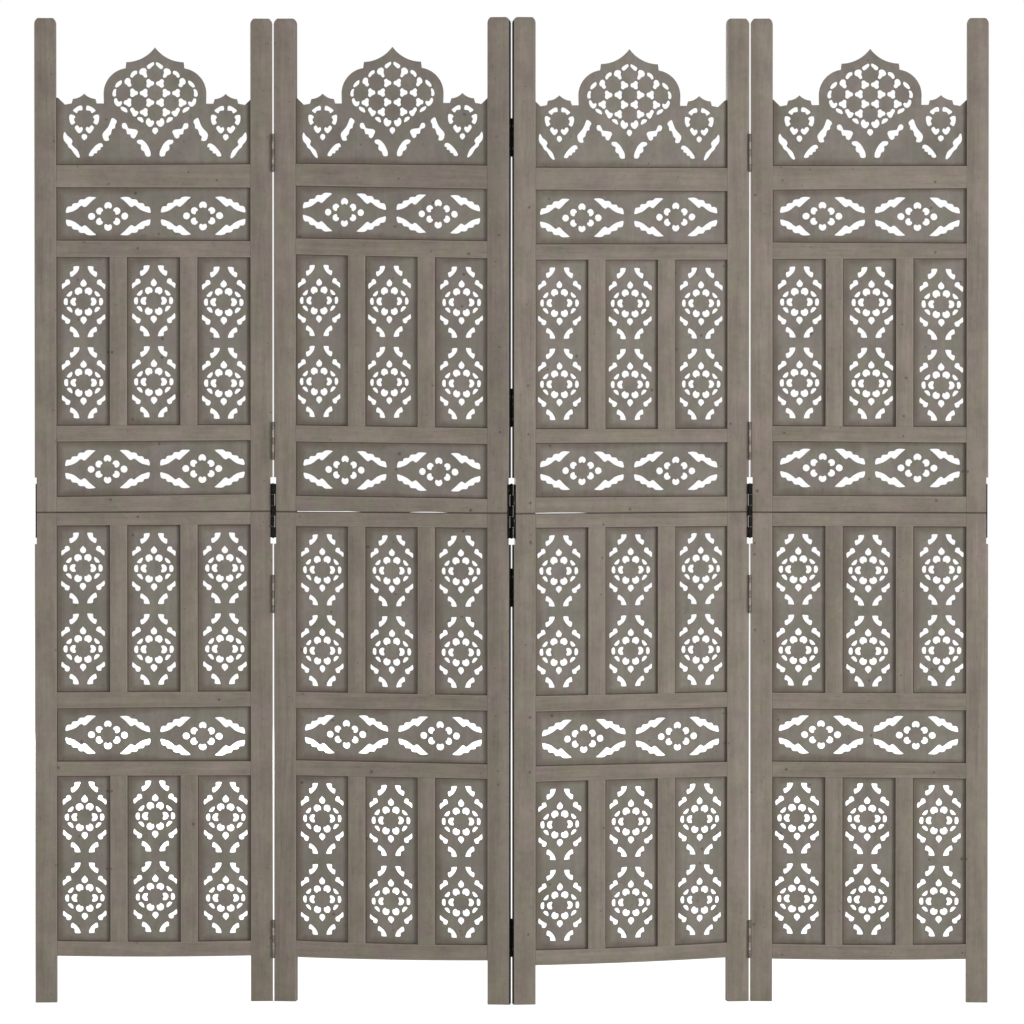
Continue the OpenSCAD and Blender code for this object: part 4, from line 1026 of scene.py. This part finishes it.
for n in PANELS:
    rng = random.Random(7 * n)
    frets, friezes, crest = Shell(), Shell(), Shell()
    for row, (low, height) in enumerate(FRET_OPENINGS):
        mesh = boards(fret_edges[height], fret_curves, 3, 2, (0, FRET_PITCH, 0), 0.5, 10 * n + row)
        add_boards(frets, mesh, n, low + height / 2, shown_part, rng, FRET_PLACES[n - 1][row])
    for row, low in enumerate(FRIEZE_OPENINGS):
        mesh = boards(frieze_edge, frieze_curves, 1, 2, (FRIEZE_STEP, 0, 0), 0.5, 10 * n + 5 + row)
        add_boards(friezes, mesh, n, low + FRIEZE_H / 2, shown_part, rng, [FRIEZE_PLACES[n - 1][row]])
    mesh = boards(crest_edge, crest_curves, 1, 1, (0, 0, 0), 0.42, 10 * n + 9)
    add_boards(crest, mesh, n, CREST_Z, shown_crest, rng, [CREST_PLACES[n - 1]], free_top=True)
    for name, shell, part in (("frets", frets, "fret_boards"), ("friezes", friezes, "friezes"),
                              ("crest", crest, "crest")):
        show(shell.mesh(), n, f"sawn_{name}", board_wood, [part])

for curve in [fret_curves, frieze_curves, crest_curves, crest_edge, frieze_edge, *fret_edges.values()]:
    bpy.data.objects.remove(curve)


# The metal parts keep their CAD shapes and get their finishes

def finish_node(node, material):
    slots = frame["nodes"][node].data.materials
    slots.clear()
    slots.append(material)


for n in PANELS:
    finish_node(f"panel_{n}_joining_plates", black_metal)
# The middle seam's hinges lie in shade at the back of its gap, so they get the black plate finish as painted shade
for s in SEAM_FULLNESS:
    for part in ("left_hinge_leaves", "right_hinge_leaves", "hinge_pins"):
        finish_node(f"seam_{s}_{part}", black_metal if s == 2 else grey_metal)
# The leaves with two knuckles are brighter
finish_node("seam_1_left_hinge_leaves", bright_metal)
finish_node("seam_3_right_hinge_leaves", bright_metal)


# The screws

slotted_screws = screw_tree()


def screw_places(n):
    """A mesh with a point at each screw head of panel n, which knows the way that the head faces."""
    bm = at_home(n, "screws")
    points, ways = [], []
    for group in islands(bm):
        low, high = box_of(group)
        side = 1 if low.x > 0 else -1
        head = (low + high) / 2
        head.x = high.x if side > 0 else low.x
        points.append(PLACES[n] @ head)
        ways.extend(PLACES[n].to_3x3() @ Vector((side, 0, 0)))
    bm.free()
    mesh = bpy.data.meshes.new("screw places")
    mesh.from_pydata(points, [], [])
    mesh.attributes.new("out", "FLOAT_VECTOR", "POINT").data.foreach_set("vector", ways)
    return mesh


for n in PANELS:
    places = put_in("screw places", screw_places(n))
    mesh = grown(slotted_screws, {
        "Places": places, **{name: size * MM for name, size in SCREW.items()},
        "Seed": n, "Finish": dull_steel,
    })
    bpy.data.objects.remove(places)
    show(mesh, n, "slotted_screws", dull_steel, ["screws"])


# Floor, light and camera

WHITE = rgb(1, 1, 1)
FLOOR_GREY = rgb(0.82, 0.82, 0.82)
FLOOR_GLOW = 0.79
AMBIENT = 0.355


def white_floor():
    """White for the camera, with the shadow that the lamps throw on it."""
    f = Finish("white_floor")
    matt = f.made("ShaderNodeBsdfDiffuse", {"Color": FLOOR_GREY})
    glow = f.made("ShaderNodeEmission", {"Color": WHITE, "Strength": f.times(f.seen(), FLOOR_GLOW)})
    f.node("ShaderNodeOutputMaterial", {0: f.made("ShaderNodeAddShader", {0: matt, 1: glow})})
    return f.material


floor_mesh = bpy.data.meshes.new("floor")
floor_mesh.from_pydata([(-9, -8, 0), (9, -8, 0), (9, 12, 0), (-9, 12, 0)], [], [(0, 1, 2, 3)])
floor_mesh.materials.append(white_floor())
floor = put_in("floor", floor_mesh)

scene.view_settings.view_transform = "Standard"
scene.world = bpy.data.worlds.new("white room")
scene.world.use_nodes = True
room = Nodes(scene.world.node_tree)
room.tree.nodes.clear()
sky = room.made("ShaderNodeBackground", {"Color": WHITE, "Strength": room.band(room.seen(), 0, 1, AMBIENT)})
room.node("ShaderNodeOutputWorld", {0: sky})


def soft_lamp(name, place, aim, size, power):
    data = bpy.data.lights.new(name, "AREA")
    data.shape = "RECTANGLE"
    data.size, data.size_y = size
    data.energy = power
    lamp = put_in(name, data)
    lamp.location = place
    lamp.rotation_euler = (Vector(aim) - Vector(place)).to_track_quat("-Z", "Y").to_euler()


soft_lamp("key light", (4.4, -4.8, 0.95), (0.2, 0, 0.6), (2.0, 1.8), 262)
soft_lamp("front light", (-0.8, -6.2, 0.7), (0, 0, 0.6), (3.0, 1.3), 119)
soft_lamp("back light", (-2.5, 5.5, 1.3), (0, 0, 0.7), (3.0, 2.0), 200)

camera_data = bpy.data.cameras.new("camera")
camera_data.lens = 197.3
camera_data.shift_y = -0.1
camera = put_in("camera", camera_data)
camera.location = (0.0008, -9.4, 1.149)
camera.rotation_euler = (math.radians(90 - 0.94), 0, 0)
scene.camera = camera
